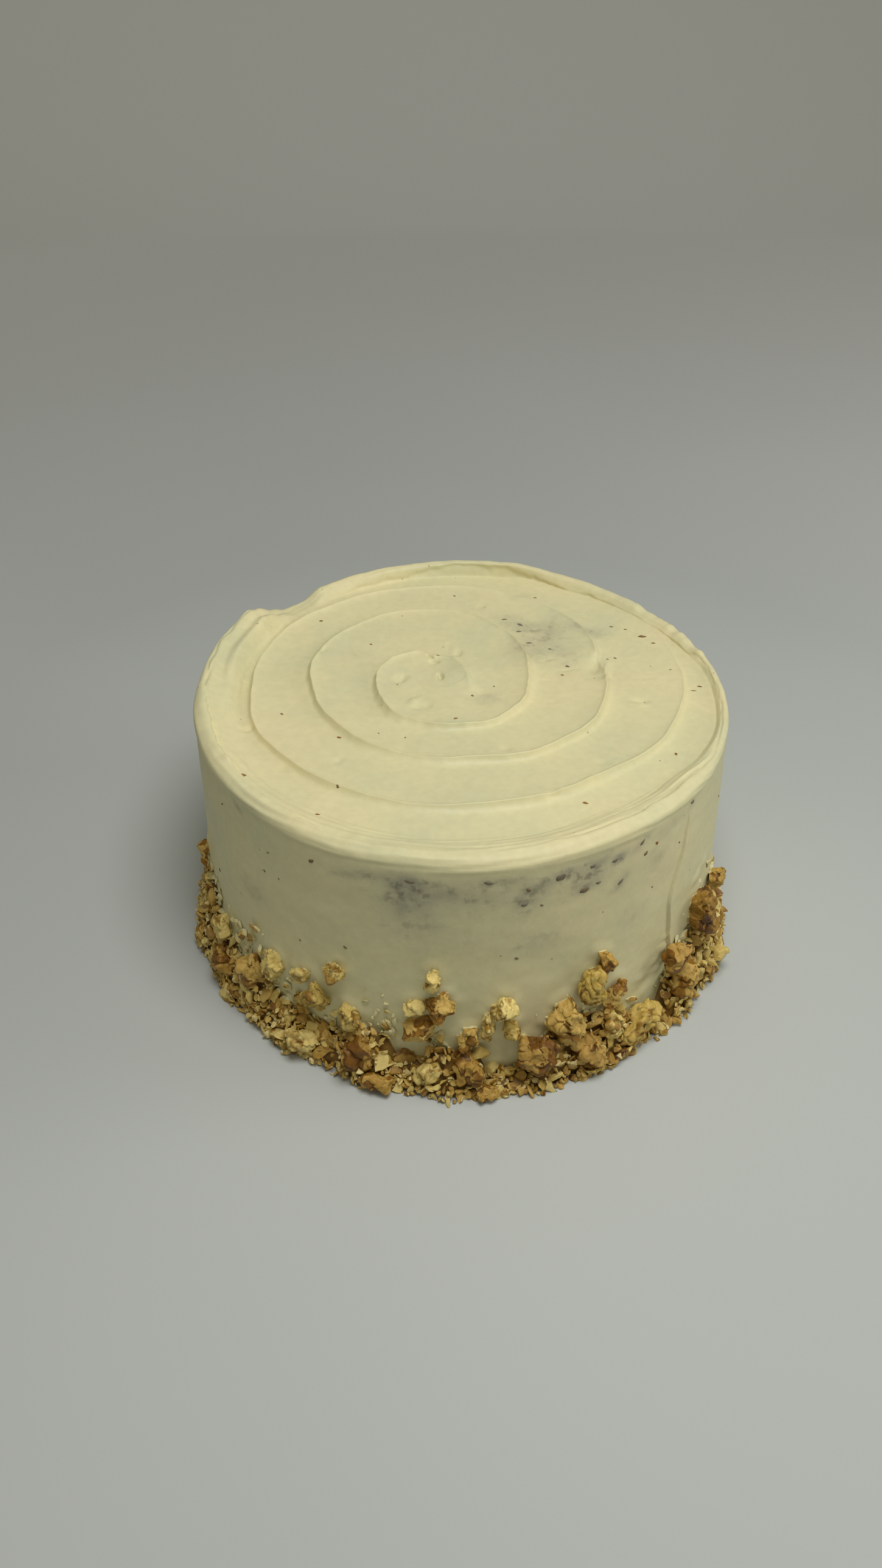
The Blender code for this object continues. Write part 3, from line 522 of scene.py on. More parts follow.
def frosting_faces(columns, bearing, length, away, rows):
    """Faces over the spread top, down the rim's rows and under the cake."""
    count = len(columns)
    first_rim = len(away)
    middle = first_rim + rows * count
    reach = np.concatenate([away, np.zeros(rows * count + 2)])
    faces = []
    for i in range(count):
        n = (i + 1) % count
        mine = columns[i]
        theirs = columns[n]
        if bearing[n] < bearing[i]:
            theirs = {(k if k in RING_KEYS else k - TURN_ROWS): v for k, v in theirs.items()}
        reach[first_rim + i] = length[i]
        reach[first_rim + n] = length[n]
        shared = sorted(k for k in set(mine) & set(theirs) if k not in RING_KEYS)
        for k in [*RING_KEYS[:-1], *shared[:-1]]:
            faces.append((mine[k], mine[k + 1], theirs[k + 1], theirs[k]))
        low, high = shared[0], shared[-1]
        zip_strips([mine[k] for k in sorted(mine) if RING_KEYS[-1] <= k <= low],
                   [theirs[k] for k in sorted(theirs) if RING_KEYS[-1] <= k <= low], reach, faces)
        zip_strips([mine[k] for k in sorted(mine) if k >= high] + [first_rim + i],
                   [theirs[k] for k in sorted(theirs) if k >= high] + [first_rim + n], reach, faces)
        faces.append((middle, mine[INNERMOST], theirs[INNERMOST]))
        for r in range(rows - 1):
            p = first_rim + r * count
            faces.append((p + i, p + count + i, p + count + n, p + n))
        p = first_rim + (rows - 1) * count
        faces.append((p + i, middle + 1, p + n))
    return faces


def thin_places(top, turned, heights, on_wall):
    """How thin the frosting is, 0 to 1, at each point of the top and then of the rim."""
    flat_thin = np.zeros(len(top))
    for spot in TOP_THIN:
        flat_thin += spot[5] * dent(top[:, 0], top[:, 1], spot)
    wall_thin = np.zeros(heights.shape)
    for spot in WALL_THIN:
        arc = wrapped(turned - spot[0]) * math.pi / 180.0 * TOP_RADIUS
        wall_thin += spot[5] * dent(arc, heights, (0.0, spot[1]) + spot[2:]) * on_wall
    return np.clip(np.concatenate([flat_thin, wall_thin.ravel(), (0.0, 0.0)]), 0, 1)


def build_frosting(material, nuts):
    """The whole frosted cake, finely modelled over the CAD solid's shape."""
    angle = column_angles()
    radii, heights, across, foot = rim_profile(angle)
    a = np.radians(angle)
    dx = foot * np.cos(a) - SPIRAL_CENTRE[0]
    dy = foot * np.sin(a) - SPIRAL_CENTRE[1]
    length = np.hypot(dx, dy)
    bearing = np.degrees(np.arctan2(dy, dx)) % 360.0
    top, away, columns = build_top(bearing, length, np.stack([dx / length, dy / length], axis=1))

    # the lip starts at the height the spread top has where it meets it
    meet = top[[column[max(column)] for column in columns], 2]
    blend = np.clip(1.0 - across / 3.0, 0.0, 1.0)[:SLOPE_ROWS]
    heights[:SLOPE_ROWS] += blend * (meet - TOP_LEVEL - FLOOR_LIFT)[None, :]
    rim, turned, heights, on_wall = build_rim(angle, across, radii, heights, nuts)

    x, y = SPIRAL_CENTRE
    centre_z = TOP_LEVEL + float(top_detail(np.array([x]), np.array([y]))[0])
    every = np.concatenate([top, rim.reshape(-1, 3), [[x, y, centre_z], [0.0, 0.0, 0.0]]])
    faces = frosting_faces(columns, bearing, length, away, len(rim))
    thin = thin_places(top, turned, heights, on_wall)
    ob = make_object("frosting", every, faces, material, [("thin", thin)])
    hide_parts("frosted_cake")
    return ob


# ------------------------------------------------------------------------------------- materials
def new_material(name):
    """A material with its node lists and its shader."""
    material = bpy.data.materials.new(name)
    material.use_nodes = True
    tree = material.node_tree
    return material, tree.nodes, tree.links, tree.nodes["Principled BSDF"]


def add(nodes, kind, **settings):
    """A new node with these settings."""
    node = nodes.new(kind)
    for key, value in settings.items():
        setattr(node, key, value)
    return node


def noise_node(nodes, links, scale, detail=4.0, rough=0.55, where=None):
    """A noise texture, read at the place given."""
    node = add(nodes, "ShaderNodeTexNoise")
    node.inputs["Scale"].default_value = scale
    node.inputs["Detail"].default_value = detail
    node.inputs["Roughness"].default_value = rough
    if where is not None:
        links.new(where, node.inputs["Vector"])
    return node


def ramp(nodes, links, value, stops):
    """The colour that the value picks from a ramp of (place, colour) stops."""
    node = add(nodes, "ShaderNodeValToRGB")
    elements = node.color_ramp.elements
    while len(elements) < len(stops):
        elements.new(0.5)
    for element, (place, colour) in zip(elements, stops):
        element.position = place
        element.color = (*colour, 1.0) if len(colour) == 3 else colour
    links.new(value, node.inputs["Fac"])
    return node.outputs["Color"]


def mix(nodes, links, how, amount, first, second):
    """A colour mix; amount, first and second are sockets, numbers or colours."""
    node = add(nodes, "ShaderNodeMix", data_type="RGBA", blend_type=how)
    for socket, value in ((0, amount), (6, first), (7, second)):
        if isinstance(value, bpy.types.NodeSocket):
            links.new(value, node.inputs[socket])
        elif socket == 0:
            node.inputs[socket].default_value = value
        else:
            node.inputs[socket].default_value = (*value, 1.0)
    return node.outputs[2]


def maths(nodes, links, how, first, second, clamp=False):
    """A sum done on two sockets or numbers."""
    node = add(nodes, "ShaderNodeMath", operation=how, use_clamp=clamp)
    for socket, value in ((0, first), (1, second)):
        if isinstance(value, bpy.types.NodeSocket):
            links.new(value, node.inputs[socket])
        else:
            node.inputs[socket].default_value = value
    return node.outputs[0]


def grey(value):
    """A grey of this brightness."""
    return (value, value, value)


CREAM = (0.735, 0.69, 0.405)
CREAM_WARM = (0.77, 0.70, 0.41)
CREAM_COOL = (0.68, 0.66, 0.40)
THIN_GREY = (0.36, 0.34, 0.245)
CHARCOAL = (0.21, 0.185, 0.125)


def frosting_material():
    """Cream frosting, grey and blotchy where the thin attribute says the cake shows through."""
    material, nodes, links, shader = new_material("cream_cheese_frosting")
    place = add(nodes, "ShaderNodeTexCoord").outputs["Object"]
    broad = noise_node(nodes, links, 32.0, 3.0, where=place)
    colour = ramp(nodes, links, broad.outputs["Fac"], (
        (0.32, CREAM_COOL), (0.5, CREAM), (0.68, CREAM_WARM)))
    fine = noise_node(nodes, links, 420.0, 3.0, where=place)
    shade = ramp(nodes, links, fine.outputs["Fac"], ((0.3, grey(0.93)), (0.7, grey(1.0))))
    colour = mix(nodes, links, "MULTIPLY", 1.0, colour, shade)

    # thin places: grey, blotchy, with charcoal marks where they are thinnest
    thin = add(nodes, "ShaderNodeAttribute", attribute_name="thin").outputs["Fac"]
    blotch = noise_node(nodes, links, 150.0, 4.0, 0.6, where=place)
    patchy = maths(nodes, links, "MULTIPLY_ADD", blotch.outputs["Fac"], 2.4)
    nodes[patchy.node.name].inputs[2].default_value = -0.35
    amount = maths(nodes, links, "MULTIPLY", thin, patchy, clamp=True)
    colour = mix(nodes, links, "MIX", amount, colour, THIN_GREY)
    marks = noise_node(nodes, links, 330.0, 3.0, 0.6, where=place)
    mark = ramp(nodes, links, marks.outputs["Fac"], ((0.52, grey(0.0)), (0.66, grey(1.0))))
    mark = maths(nodes, links, "MULTIPLY", mark, thin, clamp=True)
    mark = maths(nodes, links, "MULTIPLY", mark, 0.85, clamp=True)
    colour = mix(nodes, links, "MIX", mark, colour, CHARCOAL)

    # a few pin-head specks
    cells = add(nodes, "ShaderNodeTexVoronoi")
    cells.inputs["Scale"].default_value = 210.0
    links.new(place, cells.inputs["Vector"])
    near = ramp(nodes, links, cells.outputs["Distance"], ((0.045, grey(1.0)), (0.085, grey(0.0))))
    few = add(nodes, "ShaderNodeSeparateColor")
    links.new(cells.outputs["Color"], few.inputs[0])
    picked = ramp(nodes, links, few.outputs[0], ((0.80, grey(0.0)), (0.86, grey(0.75))))
    speck = maths(nodes, links, "MULTIPLY", near, picked, clamp=True)
    colour = mix(nodes, links, "MIX", speck, colour, (0.30, 0.25, 0.15))
    links.new(colour, shader.inputs["Base Color"])

    gloss = ramp(nodes, links, broad.outputs["Fac"], ((0.3, grey(0.46)), (0.7, grey(0.56))))
    links.new(gloss, shader.inputs["Roughness"])
    shader.inputs["Specular IOR Level"].default_value = 0.35
    shader.inputs["Subsurface Weight"].default_value = 0.10
    shader.inputs["Subsurface Radius"].default_value = (1.0, 0.8, 0.45)
    shader.inputs["Subsurface Scale"].default_value = 0.0008

    grain = noise_node(nodes, links, 900.0, 3.0, 0.6, where=place)
    slow = noise_node(nodes, links, 160.0, 2.0, where=place)
    height = mix(nodes, links, "MIX", 0.35, slow.outputs["Fac"], grain.outputs["Fac"])
    bump = add(nodes, "ShaderNodeBump")
    bump.inputs["Strength"].default_value = 0.10
    bump.inputs["Distance"].default_value = 0.0012
    links.new(height, bump.inputs["Height"])
    links.new(bump.outputs["Normal"], shader.inputs["Normal"])
    return material


def walnut_material(name, flesh_light, flesh_dark, skin_light, skin_dark):
    """Creamy broken nut under brown veined skin; the skin attribute says which shows where, and the
    groove_shade attribute darkens the creases as painted shade.
    """
    material, nodes, links, shader = new_material(name)
    place = add(nodes, "ShaderNodeTexCoord").outputs["Object"]
    skin = add(nodes, "ShaderNodeAttribute", attribute_name="skin").outputs["Fac"]
    tone = add(nodes, "ShaderNodeAttribute", attribute_name="tone").outputs["Fac"]
    groove_shade = add(nodes, "ShaderNodeAttribute", attribute_name="groove_shade").outputs["Fac"]

    crumbly = noise_node(nodes, links, 700.0, 5.0, 0.65, where=place)
    spread = maths(nodes, links, "ADD", crumbly.outputs["Fac"], maths(nodes, links, "MULTIPLY", tone, 0.5))
    flesh = ramp(nodes, links, spread, ((0.45, flesh_dark), (0.95, flesh_light)))
    veins = noise_node(nodes, links, 480.0, 4.0, 0.6, where=place)
    spread = maths(nodes, links, "ADD", veins.outputs["Fac"], maths(nodes, links, "MULTIPLY", tone, 0.4))
    peel = ramp(nodes, links, spread, ((0.42, skin_dark), (0.85, skin_light)))

    ragged = noise_node(nodes, links, 620.0, 4.0, 0.6, where=place)
    edge = maths(nodes, links, "MULTIPLY_ADD", ragged.outputs["Fac"], 0.7)
    nodes[edge.node.name].inputs[2].default_value = -0.35
    edge = maths(nodes, links, "ADD", skin, edge)
    cover = ramp(nodes, links, edge, ((0.40, grey(0.0)), (0.62, grey(1.0))))
    colour = mix(nodes, links, "MIX", cover, flesh, peel)
    # painted shade: the colour is darkened in the grooves and creases, where shade falls
    painted_crease_shade = ramp(nodes, links, groove_shade, ((0.15, grey(1.0)), (0.9, grey(0.6))))
    colour = mix(nodes, links, "MULTIPLY", 1.0, colour, painted_crease_shade)
    cream = add(nodes, "ShaderNodeAttribute", attribute_name="cream").outputs["Fac"]
    spread = maths(nodes, links, "ADD", cream, maths(nodes, links, "MULTIPLY", ragged.outputs["Fac"], 0.8))
    smear = ramp(nodes, links, spread, ((0.95, grey(0.0)), (1.1, grey(0.9))))
    colour = mix(nodes, links, "MIX", smear, colour, CREAM)
    links.new(colour, shader.inputs["Base Color"])

    gloss = ramp(nodes, links, edge, ((0.3, grey(0.62)), (0.7, grey(0.40))))
    links.new(gloss, shader.inputs["Roughness"])
    shader.inputs["Specular IOR Level"].default_value = 0.35
    shader.inputs["Subsurface Weight"].default_value = 0.12
    shader.inputs["Subsurface Radius"].default_value = (1.0, 0.7, 0.35)
    shader.inputs["Subsurface Scale"].default_value = 0.0012
    bump = add(nodes, "ShaderNodeBump")
    bump.inputs["Strength"].default_value = 0.45
    bump.inputs["Distance"].default_value = 0.0005
    links.new(crumbly.outputs["Fac"], bump.inputs["Height"])
    links.new(bump.outputs["Normal"], shader.inputs["Normal"])
    return material


def crumb_material():
    """Specks caught in the frosting, from reddish brown to charcoal by their tone."""
    material, nodes, links, shader = new_material("caught_specks")
    tone = add(nodes, "ShaderNodeAttribute", attribute_name="tone").outputs["Fac"]
    place = add(nodes, "ShaderNodeTexCoord").outputs["Object"]
    uneven = noise_node(nodes, links, 1400.0, 3.0, where=place)
    base = ramp(nodes, links, tone, (
        (0.0, (0.42, 0.18, 0.05)), (0.5, (0.26, 0.17, 0.07)), (1.0, (0.26, 0.24, 0.18))))
    shade = ramp(nodes, links, uneven.outputs["Fac"], ((0.35, grey(0.7)), (0.7, grey(1.0))))
    links.new(mix(nodes, links, "MULTIPLY", 1.0, base, shade), shader.inputs["Base Color"])
    shader.inputs["Roughness"].default_value = 0.7
    shader.inputs["Specular IOR Level"].default_value = 0.1
    return material


WALNUTS = {
    "pale": ((0.80, 0.64, 0.23), (0.52, 0.355, 0.07), (0.40, 0.225, 0.032), (0.21, 0.10, 0.010)),
    "amber": ((0.64, 0.44, 0.12), (0.40, 0.225, 0.032), (0.33, 0.160, 0.018), (0.15, 0.062, 0.005)),
    "brown": ((0.52, 0.33, 0.08), (0.29, 0.150, 0.018), (0.24, 0.105, 0.011), (0.10, 0.037, 0.003)),
    "crumb": ((0.82, 0.69, 0.33), (0.57, 0.41, 0.12), (0.36, 0.21, 0.04), (0.20, 0.095, 0.013)),
}


# --------------------------------------------------------------------------------------- walnuts
def directions(chance, count):
    """Random unit directions."""
    found = []
    for _ in range(count):
        v = Vector((chance.gauss(0, 1), chance.gauss(0, 1), chance.gauss(0, 1)))
        found.append(np.array(v.normalized()))
    return found


def walnut_surface(points, normals, chance, scale):
    """Turns a smooth lump into broken nut: wrinkled skin, and flat crumbly faces where it broke.
    scale is the lump's size; gives the new points, the skin, and groove_shade, how deep each point lies in a
    wrinkle, which sinks the surface and also sets where the colour is darkened as painted shade.
    """
    middle = points.mean(axis=0)
    offset = chance.uniform(0.0, 50.0)
    coarse = noise_at(points + offset, scale * 0.42, 11)
    lobes = noise_at(points + offset, scale * 0.26, 12)
    groove_shade = np.exp(-((lobes / 0.10) ** 2))
    fine = noise_at(points + offset, scale * 0.12, 13)
    rise = 0.24 * coarse + 0.07 * lobes - 0.085 * groove_shade + 0.02 * fine
    moved = points + normals * (scale * rise)[:, None]
    skin = np.ones(len(points))
    grain = noise_at(points + offset, scale * 0.10, 14) + 0.4 * noise_at(points + offset, scale * 0.04, 15)
    steps = np.round(2.6 * noise_at(points + offset, scale * 0.30, 17)) * 0.045
    for way in directions(chance, 5):
        depth = (moved - middle) @ way
        limit = np.quantile(depth, chance.uniform(0.84, 0.96))
        over = depth - limit
        broken = over > 0.0
        chipped = over * 0.94 + scale * (0.018 * grain + steps) * np.clip(over / (0.05 * scale), 0, 1)
        moved = np.where(broken[:, None], moved - way * chipped[:, None], moved)
        skin = np.where(broken, 0.0, skin)
    patch = noise_at(points + offset, scale * 0.5, 16)
    skin = skin * np.clip(0.62 + 2.4 * (patch + chance.uniform(-0.1, 0.22)), 0.0, 1.0)
    # groove_shade is weaker on the broken faces; in the material it darkens the wrinkles as painted shade
    return moved, skin, groove_shade * np.where(skin > 0.3, 1.0, 0.4)


def remeshed(source, voxel):
    """Points, normals and faces of a CAD solid's surface made even and finely divided."""
    mesh = source.data.copy()
    ob = bpy.data.objects.new("remesh_work", mesh)
    bpy.context.scene.collection.objects.link(ob)
    modifier = ob.modifiers.new("even", "REMESH")
    modifier.mode = "VOXEL"
    modifier.voxel_size = voxel * MM
    smooth = ob.modifiers.new("soft", "SMOOTH")
    smooth.factor = 0.5
    smooth.iterations = 4
    graph = bpy.context.evaluated_depsgraph_get()
    made = bpy.data.meshes.new_from_object(ob.evaluated_get(graph))
    points = np.array([v.co for v in made.vertices]) / MM
    normals = np.array([v.normal for v in made.vertices])
    faces = [tuple(p.vertices) for p in made.polygons]
    bpy.data.objects.remove(ob, do_unlink=True)
    bpy.data.meshes.remove(made)
    bpy.data.meshes.remove(mesh)
    return points, normals, faces


def smeared(points):
    """How much cream clings to each point, most where it is pressed against the wall."""
    angle = np.degrees(np.arctan2(points[:, 1], points[:, 0]))
    stands = np.hypot(points[:, 0], points[:, 1]) - side_radius(angle, points[:, 2])
    patchy = noise_at(points, 2.6, 31)
    above_table = np.clip((points[:, 2] - 3.0) / 5.0, 0.0, 1.0)
    return np.clip(1.25 - stands / 1.6 + 0.5 * patchy, 0.0, 1.0) * above_table


def build_walnuts(materials):
    """The larger walnut pieces, each over its CAD solid; gives their places for the heap."""
    places = []
    slots = {row["node"]: row["material_slot"] for row in frame["record"]["subparts"]}
    for node in sorted(n for n in frame["nodes"] if n.startswith("walnut_") and n[-1].isdigit()):
        chance = random.Random(int(node[-2:]) * 31 + 7)
        slot = slots[node]
        points, normals, faces = remeshed(frame["nodes"][node], 0.40)
        low, high = points.min(axis=0), points.max(axis=0)
        scale = float(np.cbrt(np.prod(high - low)))
        moved, skin, groove_shade = walnut_surface(points, normals, chance, scale)
        moved[:, 2] = np.maximum(moved[:, 2], 0.1)
        if slot == "walnut_brown":
            skin = np.clip(skin * 1.5, 0.0, 1.0)
        if slot == "walnut_pale":
            skin = skin * 0.55
        tone = np.full(len(moved), chance.random())
        ob = make_object(node + "_nut", moved, faces, materials[slot[7:]],
                         [("skin", skin), ("groove_shade", groove_shade), ("tone", tone), ("cream", smeared(moved))])
        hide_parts(node)
        places.append((moved, faces))
    return places


def chunk(chance, detail, cuts):
    """Points, faces, skin and groove_shade of a broken bit of nut about 1 across; groove_shade, higher where
    the lump sinks in, darkens the colour there as painted shade.
    """
    bm = bmesh.new()
    bmesh.ops.create_icosphere(bm, subdivisions=detail, radius=0.5)
    points = np.array([v.co for v in bm.verts])
    faces = [tuple(v.index for v in f.verts) for f in bm.faces]
    bm.free()
    offset = chance.uniform(0.0, 50.0)
    ways = points / np.linalg.norm(points, axis=1)[:, None]
    lump = 0.34 * noise_at(ways + offset, 1.0, 21) + 0.18 * noise_at(ways + offset, 0.42, 22)
    points = points * (1.0 + lump)[:, None]
    skin = np.ones(len(points))
    grain = noise_at(ways + offset, 0.25, 23)
    for way in directions(chance, cuts):
        depth = points @ way
        over = depth - depth.max() * chance.uniform(0.22, 0.66)
        broken = over > 0.0
        points = np.where(broken[:, None], points - way * (over * 0.95 - 0.03 * grain)[:, None], points)
        skin = np.where(broken, 0.0, skin)
    points *= np.array([1.0, chance.uniform(0.5, 0.9), chance.uniform(0.22, 0.55)])
    points /= np.ptp(points, axis=0).max()
    # the last value is painted shade: darker where the surface sinks in
    return points, faces, skin, np.clip(0.5 - 1.2 * lump, 0.0, 1.0) * 0.4


def turned_copy(chance, points, size, spot, outward=None):
    """Points of a chunk, sized, turned at random and set at a spot."""
    turn = np.array(Matrix.Rotation(chance.uniform(0, 6.283), 3, "Z"))
    if outward is None:
        way = directions(chance, 1)[0]
        tip = np.array(Vector(way).to_track_quat("Z", "Y").to_matrix())
    else:
        leaning = Vector(outward) + Vector(directions(chance, 1)[0]) * 0.55
        tip = np.array(leaning.to_track_quat("Z", "Y").to_matrix())
    return (points * size) @ turn.T @ tip.T + spot


# bare frosting showing low on the wall: angles and heights between
BARE = ((-104.5, -98.5, 8.0, 19.0), (-86.5, -77.5, 3.8, 18.0), (-54.0, -46.5, 4.5, 24.0))


def heap_section(angle, inset=0.0):
    """Outline of the heap at an angle as (radius, height), foot first, top last."""
    i = (angle + 180.0) / 5.0
    top = float(table(HEAP_TOP, angle)) + 1.4 * math.sin(i * 2.4) + 0.9 * math.sin(i * 4.1 + 1.0)
    foot = float(table(HEAP_FOOT, angle)) + 0.7 * math.sin(i * 1.9 + 0.5) + 0.5 * math.sin(i * 3.7)
    top = max(top, 5.5)
    for start, end, low, _ in BARE:
        if start - 1.0 < angle < end + 1.0:
            top = min(top, low - 0.2)
    bulge = 0.5 * math.sin(i * 2.9 + 2.0)
    wall = [float(side_radius(angle, k * top)) for k in (0.0, 0.28, 0.55, 0.82, 1.0)]
    return [
        (wall[0] + foot - inset, 0.0),
        (wall[1] + 0.93 * foot - inset, 0.28 * top),
        (wall[2] + 0.62 * foot + bulge - inset, 0.55 * top - 0.3 * inset),
        (wall[3] + 0.44 * foot - inset, 0.82 * top - 0.6 * inset),
        (wall[4] + max(1.7 - inset, 0.2), top - inset),
        (wall[4] - 0.4, top - inset),
    ]


def on_heap(angle, part):
    """Spot and outward direction on the heap's face, part going from its foot to its top."""
    line = heap_section(angle)
    lengths = [math.dist(p, q) for p, q in zip(line, line[1:])]
    walk = part * sum(lengths)
    for (r0, z0), (r1, z1), run in zip(line, line[1:], lengths):
        if walk <= run:
            break
        walk -= run
    t = min(walk / run, 1.0)
    r, z = r0 + (r1 - r0) * t, z0 + (z1 - z0) * t
    a = math.radians(angle)
    out = np.array([(z1 - z0) * math.cos(a), (z1 - z0) * math.sin(a), r0 - r1]) / run
    return np.array([r * math.cos(a), r * math.sin(a), z]), out


def tree_of(places):
    """One search tree over the surfaces of all the larger pieces."""
    points, faces = [], []
    for moved, own in places:
        faces += [tuple(v + len(points) for v in face) for face in own]
        points += moved.tolist()
    return BVHTree.FromPolygons(points, faces)


def inside_piece(spot, tree, margin):
    """Whether the spot lies in a larger piece, or within this margin of its surface."""
    found, normal, _, distance = tree.find_nearest(Vector(spot), 12.0)
    if found is None:
        return False
    inside = (Vector(spot) - found).dot(normal) < 0.0
    return (-distance if inside else distance) < margin


def build_core(material):
    """A dark core inside the heap, painted shade that shows between the bits so the gaps read as shadow."""
    chance = random.Random(5)
    points, faces = [], []
    count = 180
    for i in range(count):
        angle = -180.0 + 360.0 * i / count
        line = heap_section(angle, inset=1.5)
        ring = [(float(side_radius(angle, 0.0)) - 0.4, 0.02)] + line
        for r, z in ring:
            r += chance.uniform(-0.3, 0.3)
            a = math.radians(angle)
            points.append((r * math.cos(a), r * math.sin(a), max(z, 0.02)))
    size = 7
    for i in range(count):
        n = (i + 1) % count
        for k in range(size):
            m = (k + 1) % size
            faces.append((i * size + k, i * size + m, n * size + m, n * size + k))
    # skin all over and a fixed crease darkening make the core dark as painted shade
    extra = [("skin", np.ones(len(points))), ("tone", np.full(len(points), 0.3)),
             ("groove_shade", np.full(len(points), 0.6))]
    ob = make_object("heap_shade_core", points, faces, material, extra)
    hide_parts("walnut_crumbs")


def scattered(kind, bits, material):
    """One object of many bits: each bit is (points, faces, skin, groove_shade, tone), groove_shade being the
    crease darkening painted as shade.
    """
    points, faces, skin, groove_shade, tone = [], [], [], [], []
    base = 0
    for p, f, s, g, t in bits:
        points.append(p)
        faces += [tuple(v + base for v in face) for face in f]
        skin.append(s)
        groove_shade.append(g)
        tone.append(np.full(len(p), t))
        base += len(p)
    every = np.concatenate(points)
    every[:, 2] = np.maximum(every[:, 2], 0.03)
    extra = [("skin", np.concatenate(skin)), ("groove_shade", np.concatenate(groove_shade)),
             ("tone", np.concatenate(tone)), ("cream", smeared(every) * (every[:, 2] > 12.0))]
    return make_object(kind, every, faces, material, extra, sharp=38)


# thinly scattered bits above the heap: angles, how far above its top, how many
STRAY = (
    (-178, -150, 14, 26), (-150, -124, 14, 34), (-124, -104, 14, 38), (-102, -88, 12, 9),
    (-80, -56, 10, 16), (-56, -44, 14, 6), (-44, -16, 18, 34), (-16, 40, 12, 26),
    (40, 100, 13, 44), (100, 150, 12, 36), (150, 180, 14, 18),
)


def bare(angle, z):
    """Whether the wall is bare frosting at this angle and height."""
    return any(a0 < angle < a1 and z0 < z < z1 for a0, a1, z0, z1 in BARE)


# passes over the heap: how many bits, sizes, share of the two sizes' sum kept between them,
# how far out they stand by their size
PASSES = (
    (560, (4.2, 4.8, 5.6, 6.4, 7.4), 0.29, -0.10),
    (1000, (2.6, 3.0, 3.4), 0.26, 0.02),
    (500, (1.8, 2.2), 0.24, 0.25),
)
CELL = 7.0


def build_heap(materials, tree):
    """Chopped walnut banked round the foot, and strays stuck to the wall above it."""
    chance = random.Random(2024)
    kinds = ("pale", "amber", "brown")
    large = [chunk(random.Random(100 + i), 3, 6) for i in range(22)]
    small = [chunk(random.Random(150 + i), 2, 5) for i in range(22)]
    bits = {kind: [] for kind in kinds}
    taken = {}

    def put(spot, out, size, flat, weights):
        p, f, s, g = chance.choice(large if size >= 3.6 else small)
        skin = s * chance.choice((0.0, 0.6, 1.0, 1.0))
        moved = turned_copy(chance, p, size, spot, out if flat else None)
        kind = chance.choices(kinds, weights)[0]
        bits[kind].append((moved, f, skin, g, chance.random()))

    def crowded(spot, size, apart):
        i, j = int(spot[0] // CELL), int(spot[1] // CELL)
        for u in (i - 1, i, i + 1):
            for v in (j - 1, j, j + 1):
                for other, width in taken.get((u, v), ()):
                    if math.dist(spot, other) < apart * (size + width):
                        return True
        return False

    for wanted, sizes, apart, lift in PASSES:
        placed = 0
        for _ in range(wanted * 10):
            angle = chance.uniform(-180.0, 180.0)
            spot, out = on_heap(angle, chance.uniform(0.0, 0.98))
            size = chance.choice(sizes)
            if spot[2] < 2.0:
                size = min(size, 4.2)
            if bare(angle, spot[2]) or crowded(spot, size, apart) or inside_piece(spot, tree, 0.1 * size):
                continue
            taken.setdefault((int(spot[0] // CELL), int(spot[1] // CELL)), []).append((spot, size))
            spot = spot + out * size * lift
            spot[2] = max(spot[2], size * 0.2)
            put(spot, out, size, chance.random() < 0.45, (0.52, 0.34, 0.14))
            placed += 1
            if placed == wanted:
                break
    for start, end, above, count in STRAY:
        for _ in range(count):
            angle = chance.uniform(start, end)
            z = float(table(HEAP_TOP, angle)) + above * chance.random() ** 1.6
            size = chance.choice((1.6, 2.0, 2.6, 3.2, 4.0, 4.8))
            a = math.radians(angle)
            out = np.array([math.cos(a), math.sin(a), 0.0])
            spot = out * (float(side_radius(angle, z)) + 0.12 * size) + np.array([0.0, 0.0, z])
            if bare(angle, z) or inside_piece(spot, tree, 0.3 * size):
                continue
            put(spot, out, size, True, (0.62, 0.30, 0.08))
    for kind in kinds:
        scattered("walnut_bits_" + kind, bits[kind], materials[kind])


def build_crumbs(material):
    """Fine crumbs between and over the bits, fewer up the wall."""
    chance = random.Random(77)
    models = [chunk(random.Random(300 + i), 2, 4) for i in range(16)]
    crumbs = []
    for n in range(2100):
        angle = chance.uniform(-180.0, 180.0)
        size = chance.choice((0.8, 1.1, 1.4, 1.8, 2.3))
        if n % 5:
            spot, out = on_heap(angle, chance.uniform(0.0, 1.0))
            spot = spot + out * chance.uniform(-0.4, 1.3)
        else:
            z = float(table(HEAP_TOP, angle)) + 16.0 * chance.random() ** 2.2
            a = math.radians(angle)
            out = np.array([math.cos(a), math.sin(a), 0.0])
            size *= 0.75
            spot = out * (float(side_radius(angle, z)) + 0.2 * size) + np.array([0.0, 0.0, z])
        if bare(angle, spot[2]) and chance.random() < 0.9:
            continue
        spot[2] = max(spot[2], size * 0.3)
        p, f, s, g = models[chance.randrange(len(models))]
        moved = turned_copy(chance, p, size, spot)
        crumbs.append((moved, f, s * chance.choice((0.0, 0.0, 0.5, 1.0)), g, chance.random()))
    scattered("walnut_crumbs_fine", crumbs, material)


